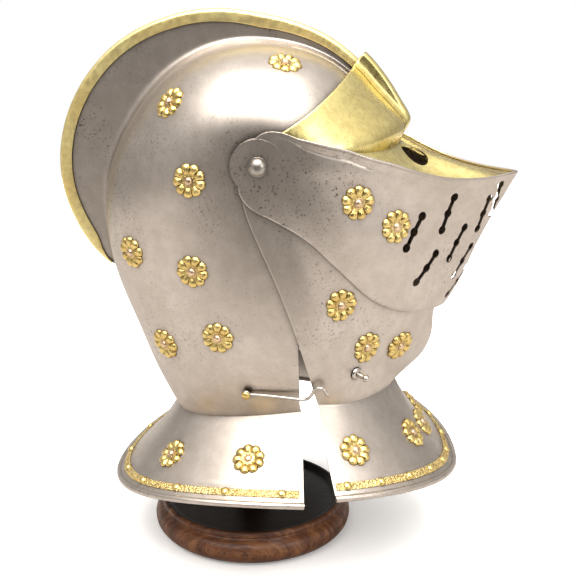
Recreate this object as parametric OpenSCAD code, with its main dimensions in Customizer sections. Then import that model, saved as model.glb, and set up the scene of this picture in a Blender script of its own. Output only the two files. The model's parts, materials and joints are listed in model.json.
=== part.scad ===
// Close helmet on a turned display stand.
// Frame: origin at the centre of the stand's underside, +X towards the face, +Z up.
// Every plate is drawn as rays from the side pivot: angle 0 points forward, 90 points up.

/* [Pivot] */
// Distance of the side pivots in front of the stand's axis
pivot_x = 19; // [15:1:23]
// Height of the side pivots
pivot_z = 317; // [312:1:322]
// Radius of the pivot rivet's shank
rivet_r = 4.4; // [4:0.1:5]
// Radial running clearance round the rivet
rivet_gap = 0.05; // [0.02:0.01:0.1]

/* [Plates] */
// Sheet thickness of every plate
sheet_t = 1.2; // [1:0.1:1.3]
// Half width of the skull at the pivots
skull_w = 93; // [92:0.5:93]
// Half width of the bevor at the pivots
bevor_w = 95.2; // [95:0.1:95.2]
// Half width of the visor at the pivots
visor_w = 96.9; // [96.8:0.1:97]
// Half width of the ventail at the pivots
ventail_w = 98.6; // [98.5:0.1:98.8]
// Radius of the flat zone round each pivot
flat_r = 17; // [16:0.5:18]

/* [Collar] */
// Half length of the collar's rim
rim_a = 121.5; // [118:0.5:124]
// Half width of the collar's rim
rim_b = 124; // [120:0.5:126]
// How far the collar halves stand open at rest, in degrees
rest_open = 5.5; // [5.5:0.5:7]

/* [Ornament] */
// Radius of a rosette
rosette_r = 12.2; // [10:0.2:12.6]
// Petals on a rosette
petals = 9; // [8:1:10]

/* [Stand] */
// Radius of the stand's foot
stand_r = 80; // [76:1:90]
// Height of the turned base
stand_h = 28; // [24:1:30]
// Radius of the post
post_r = 9; // [8:0.5:12]

/* [Hidden] */

steel = [0.62, 0.60, 0.58];
brass = [0.83, 0.68, 0.32];
wood = [0.25, 0.14, 0.09];
leather = [0.36, 0.22, 0.13];
felt = [0.12, 0.25, 0.16];
boss_r = 19;      // round end of each plate's arm
inner_r = 10;     // where the plates' rays start, inside the boss
boss_proud = 0.1; // the boss is this much thicker than the sheet on each face
hair = 0.05;      // gap left between pieces that lie against each other
mate = 0.3;       // overlap of two halves that make one solid

// ---- curves ----
function smooth(a, b, x) = let(t = min(1, max(0, (x - a) / (b - a)))) t * t * (3 - 2 * t);
function mix(a, b, t) = a + (b - a) * t;
function span(p, x, i = 0) = (i >= len(p) - 2 || x < p[i + 1][0]) ? i : span(p, x, i + 1);
function slope(p, i) =
    let(a = max(0, i - 1), b = min(len(p) - 1, i + 1)) (p[b][1] - p[a][1]) / (p[b][0] - p[a][0]);
// Smooth curve through [place, value] points, read at x
function curve(p, x) =
    let(c = min(max(x, p[0][0]), p[len(p) - 1][0]), i = span(p, c),
        h = p[i + 1][0] - p[i][0], t = (c - p[i][0]) / h)
    p[i][1] * (2 * t ^ 3 - 3 * t ^ 2 + 1) + p[i + 1][1] * (3 * t ^ 2 - 2 * t ^ 3)
    + h * slope(p, i) * (t ^ 3 - 2 * t ^ 2 + t) + h * slope(p, i + 1) * (t ^ 3 - t ^ 2);

// ---- outlines, as [angle about the pivot, radius] or [radius, angle] ----
bowl = [[10, 93], [28, 81], [50, 75.5], [90, 74.5], [130, 85.5], [166, 104], [193, 129],
        [217, 154], [233, 176], [245, 206], [256, 240], [268, 260], [285, 268]];
crest = [[14, 91], [46, 88], [65, 88.6], [83, 91.2], [100, 97.5], [128, 119], [153, 143],
         [175, 161], [190, 168.3], [203, 168.3], [213, 165], [222, 158]];
chin = [[-90, 275], [-80, 262], [-75, 248], [-71, 236], [-67, 222], [-63, 209], [-59.8, 205],
        [-54.6, 200], [-50.5, 192], [-46, 178], [-40, 170], [-34, 166]];
prow = [[-52, 184], [-42, 179], [-34, 174.5], [-26, 170.8], [-17, 172.5], [-11, 177], [-4, 184]];
ventail_rim = [[10, 120], [22.6, 80], [33.3, 32.7], [61.5, 8], [95, -2.6], [124, -6.8],
               [154, -7.4], [184, -6]];
ventail_low = [[10, -150], [20, -130], [26, -110], [36, -77], [55, -58.8], [83, -53.8],
               [124, -52], [149, -48.8], [179, -42.5]];
brow = [[-4, 91], [2, 94], [6, 97], [11, 99], [20, 92], [30, 86.5], [45, 84]];
ridge = [[-4, 91.2], [2, 94.2], [6, 97.6], [9, 101.6], [12, 103.2], [20, 99.6], [31, 97],
         [45, 95.6]];
visor_low = [[10, -118], [17, -56], [23, -20], [32, -12], [40, -8], [60, -4], [80, -1],
             [104, -1]];
// Where the brow turns out into the flange over the ventail
brow_foot = [[56, 13.5], [70, 7.8], [83, 4.6], [94, 1.4]];

brow_edge = 30;    // front edge of the skull over the eyes
nape_a = 249.2;    // direction of the nape's lower end
neck_a = 278.5;    // direction of the skull's lower front corner
// Skull's front edge, as [distance from the pivot, distance ahead of it]
face_edge = [[20, 2], [40, 12], [70, 19], [97, 24], [134, 26], [190, 26]];
chin_rear = 77.2;  // direction of the bevor's rear edge, below the pivot
throat_a = 62.8;   // direction of the chin's lower end, below the pivot

function polar(a, r, y) = [pivot_x + r * cos(a), y, pivot_z + r * sin(a)];
function fall(r, edge, n, m) =
    max(0, 1 - (max(0, r - flat_r) / (edge - flat_r)) ^ n) ^ m;

// ---- half widths of the plates; t is the depth below the outer face ----
function bowl_r(a, t = 0) = curve(bowl, a) - t;
function skull_y(a, r, t = 0) = (skull_w - t) * fall(r, bowl_r(a, t), 2.2, 1 / 2.2);
function bevor_y(a, r, t = 0) =
    (bevor_w - t) * fall(r, curve(chin, a) - t, mix(2.6, 2.2, smooth(-74, -58, a)),
                         mix(1 / 2.2, 0.85, smooth(-76, -50, a)));
function ventail_y(a, r, t = 0) =
    let(k = smooth(-50, -8, a))
    (ventail_w - t) * fall(r, curve(prow, a) - t, 2.1 - 0.4 * k, 0.66 + 0.26 * k);
function visor_y(a, r, t = 0) = (visor_w - t) * fall(r, curve(brow, a) - t, 2, 0.5);

// ---- neck lines: straight in side view ----
function line_r(a, x, z, s) = (z + s * (pivot_x - x) - pivot_z) / (sin(a) - s * cos(a));
function neck_r(a) = line_r(a, -58, 111.5, 0.175);
function throat_r(a) = line_r(a, 66, 137, -0.125);

// ---- closed sheet between an outer and an inner grid of points ----
module sheet(outer, inner) {
    rows = len(outer);
    cols = len(outer[0]);
    n = rows * cols;
    function id(i, j, s = 0) = s * n + i * cols + j;
    function tri2(a, b, c, d) = [[a, c, b], [a, d, c]];
    points = concat([for (row = outer) each row], [for (row = inner) each row]);
    faces = concat(
        [for (i = [0 : rows - 2], j = [0 : cols - 2]) each
            tri2(id(i, j), id(i, j + 1), id(i + 1, j + 1), id(i + 1, j))],
        [for (i = [0 : rows - 2], j = [0 : cols - 2]) each
            tri2(id(i, j, 1), id(i + 1, j, 1), id(i + 1, j + 1, 1), id(i, j + 1, 1))],
        [for (j = [0 : cols - 2]) each tri2(id(0, j), id(0, j, 1), id(0, j + 1, 1), id(0, j + 1))],
        [for (j = [0 : cols - 2]) each tri2(id(rows - 1, j), id(rows - 1, j + 1),
                                            id(rows - 1, j + 1, 1), id(rows - 1, j, 1))],
        [for (i = [0 : rows - 2]) each tri2(id(i, 0), id(i + 1, 0), id(i + 1, 0, 1), id(i, 0, 1))],
        [for (i = [0 : rows - 2]) each tri2(id(i, cols - 1), id(i, cols - 1, 1),
                                            id(i + 1, cols - 1, 1), id(i + 1, cols - 1))]);
    polyhedron(points, faces);
}

// ---- pieces round the pivots ----
module pivot_disc(w, r, side) {
    translate([pivot_x, side * (w - sheet_t / 2), pivot_z])
        rotate([90, 0, 0])
            cylinder(r = r, h = sheet_t + 2 * boss_proud, center = true, $fn = 48);
}
module pivot_bore() {
    translate([pivot_x, 0, pivot_z])
        rotate([90, 0, 0])
            cylinder(r = rivet_r + rivet_gap, h = 260, center = true, $fn = 48);
}
module both_sides() {
    children();
    mirror([0, 1, 0])
        children();
}

// ---- placing things square to a surface ----
function unit(v) = v / norm(v);
// Outward normal of a plate's right side at (a, r), where y gives its half width, taken over reach
function plate_n(y, a, r, reach) =
    let(d = reach / r * 180 / PI,
        along_r = polar(a, r + reach, -y(a, r + reach)) - polar(a, r - reach, -y(a, r - reach)),
        along_a = polar(a + d, r, -y(a + d, r)) - polar(a - d, r, -y(a - d, r)),
        n = unit(cross(along_r, along_a)))
    n[1] > 0 ? -n : n;
skull_side = function(a, r) skull_y(a, r);
bevor_side = function(a, r) bevor_y(a, r);
ventail_side = function(a, r) ventail_y(a, r);
module face_out(p, n, along = [0, 0, 1]) {
    tilt = acos(n[2]);
    turn = atan2(n[1], n[0]);
    e1 = [cos(tilt) * cos(turn), cos(tilt) * sin(turn), -sin(tilt)];
    e2 = [-sin(turn), cos(turn), 0];
    translate(p)
        rotate([0, tilt, turn])
            rotate([0, 0, atan2(along * e2, along * e1)])
                children();
}

module rosette() {
    linear_extrude(1.4)
        union() {
            circle(r = rosette_r * 0.72, $fn = 40);
            for (k = [0 : petals - 1])
                rotate(k * 360 / petals)
                    translate([rosette_r * 0.72, 0])
                        circle(r = rosette_r * 0.28, $fn = 24);
        }
}
module rosette_rivet() {
    translate([0, 0, 1.4 + hair])
        intersection() {
            translate([0, 0, -1.6])
                sphere(r = 4, $fn = 32);
            cylinder(r = 5, h = 5, $fn = 32);
        }
}

// ---- skull ----
head_rows = 34;
bowl_cols = 13;
comb_cols = 6;
face_r = 184;   // radius at which the skull's front edge meets the neck
function head_a(i, k) =
    let(r = max(20, mix(inner_r, face_r, min(1, k / bowl_cols))),
        last = 360 - acos(curve(face_edge, r) / r))
    mix(brow_edge, last, i / head_rows);
function crest_r(a, t = 0) = max(bowl_r(a), curve(crest, a) * (a < 222 ? 1 : 0) - 1.2) - t;
function comb_y(a, r, t) =
    let(h = crest_r(a) - bowl_r(a), k = max(0.8, h / 6))
    max(0.05, (2.4 + 7 * exp(-max(0, r - bowl_r(a)) / k)) * smooth(0, 7, h) - t);
function head_point(i, k, t) =
    let(a = head_a(i, k), edge = bowl_r(a, t),
        stop = a > 235 ? neck_r(a) : 999,
        top = min(crest_r(a, t), stop),
        soft = flat_r + (edge - flat_r) * (1 - (13 / skull_w) ^ 2.2) ^ (1 / 2.2),
        turn = min(soft, top - 6),
        r = k <= bowl_cols ? mix(inner_r, turn, k / bowl_cols)
                           : mix(turn, top, ((k - bowl_cols) / comb_cols) ^ 0.8),
        closed = k == bowl_cols + comb_cols && top < stop,
        y = closed ? hair : max(skull_y(a, r, t), comb_y(a, r, t), hair))
    polar(a, r, -y);
module skull_half() {
    difference() {
        union() {
            sheet([for (i = [0 : head_rows]) [for (k = [0 : bowl_cols + comb_cols]) head_point(i, k, 0)]],
                  [for (i = [0 : head_rows]) [for (k = [0 : bowl_cols + comb_cols])
                      head_point(i, k, sheet_t)]]);
            pivot_disc(skull_w, boss_r, -1);
        }
        pivot_bore();
    }
}
module skull_right() {
    color(steel)
        skull_half();
}
module skull_left() {
    color(steel)
        mirror([0, 1, 0])
            skull_half();
}

// ---- folded brass edging along the comb ----
trim_w = 3.8;
trim_t = 0.7;
trim_rows = 44;
function trim_row(i, t) =
    let(a = mix(32, 217, i / trim_rows), top = curve(crest, a) - t, w = trim_w - t,
        deep = min(8, (curve(crest, a) - bowl_r(a)) * 0.4) * smooth(219, 208, a) + 1.8)
    [for (p = [[-1, deep], [-1, 1.6], [-0.55, 0], [0.55, 0], [1, 1.6], [1, deep]])
        polar(a, p[1] == deep ? curve(crest, a) - deep : top - p[1], p[0] * w)];
module comb_trim() {
    color(brass)
        sheet([for (i = [0 : trim_rows]) trim_row(i, 0)], [for (i = [0 : trim_rows]) trim_row(i, trim_t)]);
}

// ---- bevor ----
chin_rows = 16;
chin_cols = 18;
function chin_point(i, k, t) =
    let(f = k / chin_cols, rn = inner_r + f * 175,
        low = -chin_rear - 32 * exp(-(rn - 27) / 25), high = mix(-20, -36, f) - 12 * sin(180 * f),
        a = mix(low, high, i / chin_rows), edge = curve(chin, a) - t,
        stop = a < -throat_a ? throat_r(a) : 999,
        top = min(edge, stop),
        r = mix(inner_r, top, 1 - (1 - f) ^ 1.15))
    polar(a, r, -(k == chin_cols && edge < stop ? -mate : max(mate, bevor_y(a, r, t))));
module bevor_half() {
    sheet([for (i = [0 : chin_rows]) [for (k = [0 : chin_cols]) chin_point(i, k, 0)]],
          [for (i = [0 : chin_rows]) [for (k = [0 : chin_cols]) chin_point(i, k, sheet_t)]]);
    pivot_disc(bevor_w, boss_r, -1);
}
module bevor() {
    color(steel)
        difference() {
            both_sides()
                bevor_half();
            pivot_bore();
        }
}

// ---- ventail, with its breaths ----
beak_rows = 11;
beak_cols = 20;
function beak_point(i, k, t) =
    let(f = k / beak_cols, rn = inner_r + f * 170,
        a = mix(curve(ventail_low, rn), curve(ventail_rim, rn), i / beak_rows),
        r = mix(inner_r, curve(prow, a) - t, f))
    polar(a, r, -(k == beak_cols ? -mate : max(mate, ventail_y(a, r, t))));
module ventail_half() {
    sheet([for (i = [0 : beak_rows]) [for (k = [0 : beak_cols]) beak_point(i, k, 0)]],
          [for (i = [0 : beak_rows]) [for (k = [0 : beak_cols]) beak_point(i, k, sheet_t)]]);
    pivot_disc(ventail_w, boss_r, -1);
}
// Radius and angle of each breath's middle, column by column from the prow
breaths = [[170.5, -13], [173, -36], [164, -17], [166, -30.5], [153, -26],
           [136.5, -18], [141.5, -35], [118, -26]];
breath_l = 32;
breath_r = 3.5;    // radius of a breath's round ends and middle
breath_w = 3.8;    // width of the slot between them
module breath() {
    translate([0, 0, -6])
        linear_extrude(12) {
            square([breath_l - 2 * breath_r, breath_w], center = true);
            for (s = [-1, 0, 1])
                translate([s * (breath_l / 2 - breath_r), 0])
                    circle(r = breath_r, $fn = 20);
        }
}
module ventail() {
    color(steel)
        difference() {
            both_sides()
                ventail_half();
            pivot_bore();
            both_sides()
                for (b = breaths) {
                    n = plate_n(ventail_side, b[1], b[0], 1);
                    face_out(polar(b[1], b[0], -ventail_y(b[1], b[0])), n, [-sin(b[1]), 0, cos(b[1])])
                        breath();
                }
        }
}

// ---- visor: brow bowl with a hollow ridge, and a flange with the sights over the ventail ----
brow_rows = 12;
brow_cols = 17;
ridge_w = 5.6;
function brow_point(i, k, t) =
    let(f = abs(k) / brow_cols, rn = inner_r + f * 94,
        high = 42 + 3 * f + 40 * exp(-(rn - 10) / 10),
        a = mix(curve(visor_low, rn), high, i / brow_rows), edge = curve(brow, a) - t,
        soft = flat_r + (edge - flat_r) * (1 - (12 / visor_w) ^ 2) ^ 0.5,
        last = brow_cols - 4,
        top = curve(ridge, a) - t,
        r = abs(k) <= last ? mix(inner_r, soft, abs(k) / last) : mix(soft, top, (abs(k) - last) / 4),
        wall = (ridge_w - t) + 5 * exp(-max(0, r - edge) / 1.5),
        y = k == 0 ? 0 : max(visor_y(a, r, t), wall * (abs(k) == brow_cols ? 0 : 1)))
    polar(a, r, y);
function brow_row(i, t) =
    concat([for (k = [0 : brow_cols]) let(p = brow_point(i, k, t))
                [p[0], k == 0 ? -(visor_w - t) : -p[1], p[2]]],
           [for (k = [brow_cols - 1 : -1 : 0]) let(p = brow_point(i, k, t))
                [p[0], k == 0 ? visor_w - t : p[1], p[2]]]);
flange_rows = 10;
flange_cols = 16;
flange_end = 173;     // distance of the flange's tip from the pivot
flange_in = 0.6;       // how deep the flange starts in the brow's sheet
flange_gap = 1;        // gap between the flange's edge and the ventail
// Point on the flange: u runs 1 left to -1 right through the middle at 0, q from the brow outwards
function flange_point(u, q, t) =
    let(s = 1 - abs(u), turn = mix(31, 90, s),
        r = flat_r + (94 - flat_r) * sin(turn) - flange_in,
        foot = polar(curve(brow_foot, r), r, (visor_w - flange_in) * cos(turn)),
        reach = mix(60, flange_end, s), rim = curve(ventail_rim, reach) - 0.9,
        edge = polar(rim, reach, max(0, ventail_y(rim, reach, sheet_t) - flange_gap)),
        drop = (1 - q) ^ mix(2.5, 1.15, smooth(0.72, 1, s)))
    [mix(foot[0], edge[0], q), sign(u) * mix(foot[1], edge[1], q), mix(edge[2], foot[2], drop) - t];
module flange() {
    function layer(t) = [for (i = [0 : flange_rows]) [for (j = [-flange_cols : flange_cols])
        flange_point(-j / flange_cols, i / flange_rows, t)]];
    sheet(layer(0), layer(sheet_t));
}
sight_at = [123.6, -13];     // middle of the right sight
sight_size = [10.3, 10.5];   // its half length and half width
module sight() {
    translate([sight_at[0], sight_at[1], 296])
        scale([sight_size[0], sight_size[1], 1])
            cylinder(r = 1, h = 27, $fn = 40);
}
module visor() {
    color(brass)
        difference() {
            union() {
                sheet([for (i = [0 : brow_rows]) brow_row(i, 0)],
                      [for (i = [0 : brow_rows]) brow_row(i, sheet_t)]);
                flange();
                both_sides()
                    pivot_disc(visor_w, boss_r - 2, -1);
            }
            pivot_bore();
            both_sides()
                sight();
        }
}

// ---- collar halves ----
collar_cols = 32;
collar_rows = 7;
collar_end = 72;   // direction of the collar halves' ends, from the front
function rim_z(p, front) = front ? 54 + 30 * sin(p) ^ 1.4 : 55 + 27 * sin(p) ^ 2;
function rim_point(p, s, front, grow = 0, rise = 0) =
    [15.5 + (rim_a + grow) * cos(p), -s * (rim_b + grow) * sin(p), rim_z(p, front) + rise];
function opened(p) =
    let(x = p[0] - pivot_x, z = p[2] - pivot_z, c = cos(rest_open), s = sin(rest_open))
    [pivot_x + x * c - z * s, p[1], pivot_z + x * s + z * c];
function collar_top(u, front) =
    let(a = front ? -throat_a - (chin_rear - throat_a) * u * u : nape_a + (neck_a - nape_a) * u * u,
        r = front ? throat_r(a) : neck_r(a), y = front ? bevor_y(a, r) : skull_y(a, r))
    polar(a, r, -sign(u) * max(y, 30 * abs(u)));
function collar_rim(u, front) =
    let(p = front ? collar_end * abs(u) : 180 - (180 - collar_end) * abs(u),
        q = rim_point(p, sign(u), front))
    front ? opened(q) : q;
function collar_mid(a, b) = [mix(a[0], b[0], 0.42), mix(a[1], b[1], 0.42), mix(a[2], b[2], 0.62)];
function bend(a, m, b, t) = (1 - t) ^ 2 * a + 2 * t * (1 - t) * m + t ^ 2 * b;
// Point on the collar: v runs 0 at the neck to 1 at the rim, t is the depth below the outer face
function collar_point(u, v, front, t) =
    let(a = collar_top(u, front) - [0, 0, 0.4], b = collar_rim(u, front),
        p = bend(a, collar_mid(a, b), b, v),
        c = [front ? 40 : -5, 0, p[2]], d = unit(p - c))
    p - t * unit(d + [0, 0, 0.9 * v]);
function collar_n(u, v, front) =
    let(p = collar_point(u, v, front, 0), out = p - collar_point(u, v, front, 1),
        n = unit(cross(collar_point(u, v + 0.02, front, 0) - p, collar_point(u + 0.02, v, front, 0) - p)))
    n * out < 0 ? -n : n;
function around(n, e, front) = let(s = front ? -e : e) [for (j = [0 : n]) mix(-s, s, j / n)];
band_v0 = 0.86;     // lower and upper edge of the brass band, as v
band_v1 = 0.94;
collar_vs = [1, band_v1, band_v0, 0.7, 0.55, 0.4, 0.25, 0.1, 0];
module collar(front) {
    us = around(collar_cols, 1, front);
    sheet([for (v = collar_vs) [for (u = us) collar_point(u, v, front, 0)]],
          [for (v = collar_vs) [for (u = us) collar_point(u, v, front, sheet_t)]]);
    rim_roll(front);
}
roll_r = 2.4;
module rim_roll(front) {
    n = 40;
    k = 6;
    us = around(n, 0.998, front);
    function at(j, q) =
        let(u = us[j], p = collar_point(u, 1, front, sheet_t / 2),
            d = unit([p[0] - 15.5, p[1], 0]))
        p + roll_r * (cos(q) * d + sin(q) * [0, 0, 1]);
    points = [for (j = [0 : n]) for (q = [0 : k - 1]) at(j, q * 360 / k)];
    sides = [for (j = [0 : n - 1]) for (q = [0 : k - 1])
        let(r = (q + 1) % k)
        each [[j * k + q, (j + 1) * k + r, (j + 1) * k + q], [j * k + q, j * k + r, (j + 1) * k + r]]];
    ends = [[for (q = [k - 1 : -1 : 0]) q], [for (q = [0 : k - 1]) n * k + q]];
    polyhedron(points, concat(sides, ends));
}
module rear_gorget() {
    color(steel)
        collar(false);
}
module front_gorget() {
    color(steel)
        collar(true);
}

// ---- embossed brass bands just above the rims ----
band_t = 0.6;
band_end = 0.985;
band_lift = 0.12;   // gap left under the band
module band(front) {
    us = [for (u = around(collar_cols, 1, front)) max(-band_end, min(band_end, u))];
    sheet([for (v = [band_v1, band_v0]) [for (u = us) collar_point(u, v, front, -band_lift - band_t)]],
          [for (v = [band_v1, band_v0]) [for (u = us) collar_point(u, v, front, -band_lift)]]);
}
band_studs = 11;
stud_lift = 0.45;   // gap between a stud's flat underside and the middle of the band
module band_rivets(front) {
    v = (band_v0 + band_v1) / 2;
    for (k = [0 : band_studs - 1]) {
        u = mix(-0.93, 0.93, k / (band_studs - 1));
        n = collar_n(max(abs(u), 0.001), v, front);
        side = [n[0], u == 0 ? 0 : -sign(u) * abs(n[1]), n[2]];
        face_out(collar_point(u, v, front, -band_lift - band_t - stud_lift), unit(side))
            rotate_extrude($fn = 24)
                intersection() {
                    translate([0, -1.2])
                        circle(r = 3.2, $fn = 24);
                    square([4, 4]);
                }
    }
}
module rear_gorget_band() {
    color(brass)
        band(false);
}
module front_gorget_band() {
    color(brass)
        band(true);
}
module rear_band_rivets() {
    color(brass)
        band_rivets(false);
}
module front_band_rivets() {
    color(brass)
        band_rivets(true);
}

// ---- rosettes: [angle, radius] on the plates, [u, v] on the collars ----
skull_spots = [[150, 76], [78, 66], [194, 50], [216, 120], [238, 92], [256, 132], [242, 160]];
bevor_spots = [[-61, 116], [-62, 158], [-56, 176]];
ventail_spots = [[-21, 72], [-26, 104]];
rear_spots = [[0.42, 0.5], [0.8, 0.5]];
front_spots = [[0.82, 0.5], [0.3, 0.5]];
// Gap between a flat rosette and the middle of the curved plate under it
skull_lift = 0.4;
bevor_lift = 1.3;
ventail_lift = 0.6;
collar_lift = 0.8;
module on_plate(spots, y, lift) {
    both_sides()
        for (s = spots) {
            n = plate_n(y, s[0], s[1], rosette_r * 0.75);
            face_out(polar(s[0], s[1], -y(s[0], s[1])) + lift * n, n)
                children();
        }
}
module on_collar(spots, front) {
    both_sides()
        for (s = spots)
            face_out(collar_point(s[0], s[1], front, -collar_lift), collar_n(s[0], s[1], front))
                children();
    if (front) {
        n = collar_n(0.001, 0.5, front);
        face_out(collar_point(0, 0.5, front, -collar_lift), unit([n[0], 0, n[2]]))
            children();
    }
}
module skull_rosettes() {
    color(brass)
        on_plate(skull_spots, skull_side, skull_lift)
            rosette();
}
module skull_rosette_rivets() {
    color(brass)
        on_plate(skull_spots, skull_side, skull_lift)
            rosette_rivet();
}
module bevor_rosettes() {
    color(brass)
        on_plate(bevor_spots, bevor_side, bevor_lift)
            rosette();
}
module bevor_rosette_rivets() {
    color(brass)
        on_plate(bevor_spots, bevor_side, bevor_lift)
            rosette_rivet();
}
module ventail_rosettes() {
    color(brass)
        on_plate(ventail_spots, ventail_side, ventail_lift)
            rosette();
}
module ventail_rosette_rivets() {
    color(brass)
        on_plate(ventail_spots, ventail_side, ventail_lift)
            rosette_rivet();
}
module rear_gorget_rosettes() {
    color(brass)
        on_collar(rear_spots, false)
            rosette();
}
module rear_gorget_rosette_rivets() {
    color(brass)
        on_collar(rear_spots, false)
            rosette_rivet();
}
module front_gorget_rosettes() {
    color(brass)
        on_collar(front_spots, true)
            rosette();
}
module front_gorget_rosette_rivets() {
    color(brass)
        on_collar(front_spots, true)
            rosette_rivet();
}

// ---- pivot rivets, washers and nuts ----
head_r = 7;
rivet_seat = ventail_w + boss_proud + 0.2;
nut_h = 3.5;
washer_t = 1.2;
washer_y = skull_w - sheet_t - boss_proud - hair;
module pivot_rivet(side) {
    translate([pivot_x, 0, pivot_z])
        rotate([side * -90, 0, 0]) {
            translate([0, 0, washer_y - washer_t - nut_h - 1])
                cylinder(r = rivet_r, h = rivet_seat - washer_y + washer_t + nut_h + 1.2, $fn = 40);
            translate([0, 0, rivet_seat])
                intersection() {
                    translate([0, 0, -6.2])
                        sphere(r = 9.4, $fn = 48);
                    cylinder(r = head_r, h = 6, $fn = 48);
                }
        }
}
module pivot_rivet_right() {
    color(steel)
        pivot_rivet(-1);
}
module pivot_rivet_left() {
    color(steel)
        pivot_rivet(1);
}
module pivot_ring(r, y, h, sides) {
    both_sides()
        translate([pivot_x, -y, pivot_z])
            rotate([-90, 0, 0])
                difference() {
                    cylinder(r = r, h = h, $fn = sides);
                    translate([0, 0, -1])
                        cylinder(r = rivet_r + hair, h = h + 2, $fn = 40);
                }
}
module pivot_washers() {
    color(brass)
        pivot_ring(9, washer_y, washer_t, 40);
}
module pivot_nuts() {
    color(steel)
        pivot_ring(8, washer_y - washer_t - hair, nut_h, 6);
}

// ---- wire hook and its peg ----
hook_a = 266;
hook_r = 172;
hook_wire = 1.3;
hook_lift = 3.2;
hook_n = plate_n(skull_side, hook_a, hook_r, 1);
hook_seat = polar(hook_a, hook_r, -skull_y(hook_a, hook_r));
module hook_frame() {
    face_out(hook_seat, hook_n, [1, 0, 0])
        children();
}
module hook_rivet() {
    color(brass)
        hook_frame() {
            translate([0, 0, 0.1])
                cylinder(r = 1.5, h = hook_lift + 2.2, $fn = 24);
            translate([0, 0, hook_lift + 1.6])
                intersection() {
                    translate([0, 0, -1.5])
                        sphere(r = 3.6, $fn = 32);
                    cylinder(r = 3.3, h = 3, $fn = 32);
                }
        }
}
// Hook's centre line in its own plane, from the eye to the tip
hook_path = [[2.6, 0], [41, 0], [46, 1.5], [49, 6], [51, 10.5], [55, 12], [58.5, 10], [60, 6]];
module latch_hook() {
    color(steel)
        hook_frame()
            translate([0, 0, hook_lift - hook_wire])
                linear_extrude(2 * hook_wire)
                    difference() {
                        union() {
                            circle(r = 3.4, $fn = 32);
                            for (i = [0 : len(hook_path) - 2])
                                hook_bar(hook_path[i], hook_path[i + 1]);
                        }
                        circle(r = 1.5 + rivet_gap, $fn = 24);
                    }
}
module hook_bar(a, b) {
    d = b - a;
    translate([a[0], a[1]])
        rotate(atan2(d[1], d[0]))
            translate([0, -hook_wire])
                square([norm(d), 2 * hook_wire]);
    translate([b[0], b[1]])
        circle(r = hook_wire * 1.02, $fn = 20);
}
peg_a = -67;
peg_at = 172;
module peg_frame() {
    face_out(polar(peg_a, peg_at, -bevor_y(peg_a, peg_at)), plate_n(bevor_side, peg_a, peg_at, 1))
        children();
}
module latch_collar() {
    color(steel)
        peg_frame()
            translate([0, 0, 0.15])
                difference() {
                    cylinder(r = 4.6, h = 2, $fn = 32);
                    translate([0, 0, -1])
                        cylinder(r = 2 + hair, h = 5, $fn = 24);
                }
}
module latch_peg() {
    color(steel)
        peg_frame() {
            translate([0, 0, 0.15])
                cylinder(r = 2, h = 9.5, $fn = 24);
            translate([0, 0, 10])
                sphere(r = 2.7, $fn = 32);
        }
}

// ---- leather head band inside the skull ----
lining_cols = 40;
lining_low = [9.5, 70, 78, 358];   // centre, half length, half width and height of its lower edge
lining_high = [10.5, 47, 58, 376]; // the same for its upper edge
// Point on the head band: c is the direction round it, q runs up it, t inwards
function lining_at(c, q, t) =
    let(e = mix(lining_low, lining_high, q)) [e[0] + (e[1] - t) * cos(c), (e[2] - t) * sin(c), e[3]];
module lining_band() {
    n = lining_cols;
    // Corners of the band's section, going round it
    section = [[0, 0], [1, 0], [1, 2], [0, 2]];
    points = [for (j = [0 : n - 1]) for (s = section) lining_at(j * 360 / n, s[0], s[1])];
    faces = [for (j = [0 : n - 1]) for (k = [0 : 3])
        let(a = 4 * j, b = 4 * ((j + 1) % n), m = (k + 1) % 4)
        each [[a + k, b + m, b + k], [a + k, a + m, b + m]]];
    color(leather)
        polyhedron(points, faces);
}
module lining_rivets() {
    color(brass)
        for (c = [30 : 60 : 330])
            translate(lining_at(c, 0.15, -0.4))
                rotate([0, 41, c])
                    cylinder(r = 2.5, h = 1.2, $fn = 24);
}

// ---- turned display stand ----
head_top = 388;
base_z = 1.6;          // underside of the wood, on the felt
base_sink = 4.4;       // depth of the sunk top below the base's rim
base_top = stand_h - base_sink;
screw_hole = 3.1;
screw_seat = 6.2;
function turned(cx, cz, r, a0, a1, n = 8) =
    [for (k = [0 : n]) let(a = mix(a0, a1, k / n)) [cx + r * cos(a), cz + r * sin(a)]];
module stand_base() {
    r = stand_r;
    // Section: a broad round edge under a small raised rim, round the sunk top
    section = concat(
        [[0, base_z], [r - 9, base_z]],
        turned(r - 11, stand_h * 0.44, 10.7, -78, 62),
        turned(r - 9.2, stand_h - 3.1, 3.1, -35, 100),
        [[r - 12.5, stand_h - 2], [r - 15, base_top], [0, base_top]]);
    color(wood)
        difference() {
            rotate_extrude($fn = 96)
                polygon(section);
            translate([0, 0, -1])
                cylinder(r = screw_hole, h = stand_h, $fn = 32);
            translate([0, 0, -1])
                cylinder(r = screw_seat, h = 5.6, $fn = 32);
        }
}
module stand_felt() {
    color(felt)
        difference() {
            cylinder(r = stand_r - 11, h = base_z - 0.1, $fn = 96);
            translate([0, 0, -1])
                cylinder(r = screw_seat, h = 4, $fn = 32);
        }
}
module stand_screw() {
    color(steel) {
        translate([0, 0, 1.9])
            cylinder(r = 5.6, h = 2.6, $fn = 32);
        translate([0, 0, 4.4])
            cylinder(r = 3, h = 40, $fn = 32);
    }
}
post_z = base_top + hair;
module stand_post() {
    color(wood)
        difference() {
            union() {
                translate([0, 0, post_z])
                    cylinder(r = post_r, h = head_top - 24 - post_z, $fn = 48);
                translate([0, 0, post_z])
                    cylinder(r = post_r + 6, h = 8, $fn = 48);
            }
            translate([0, 0, post_z - 1])
                cylinder(r = screw_hole, h = 24, $fn = 32);
        }
}
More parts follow.
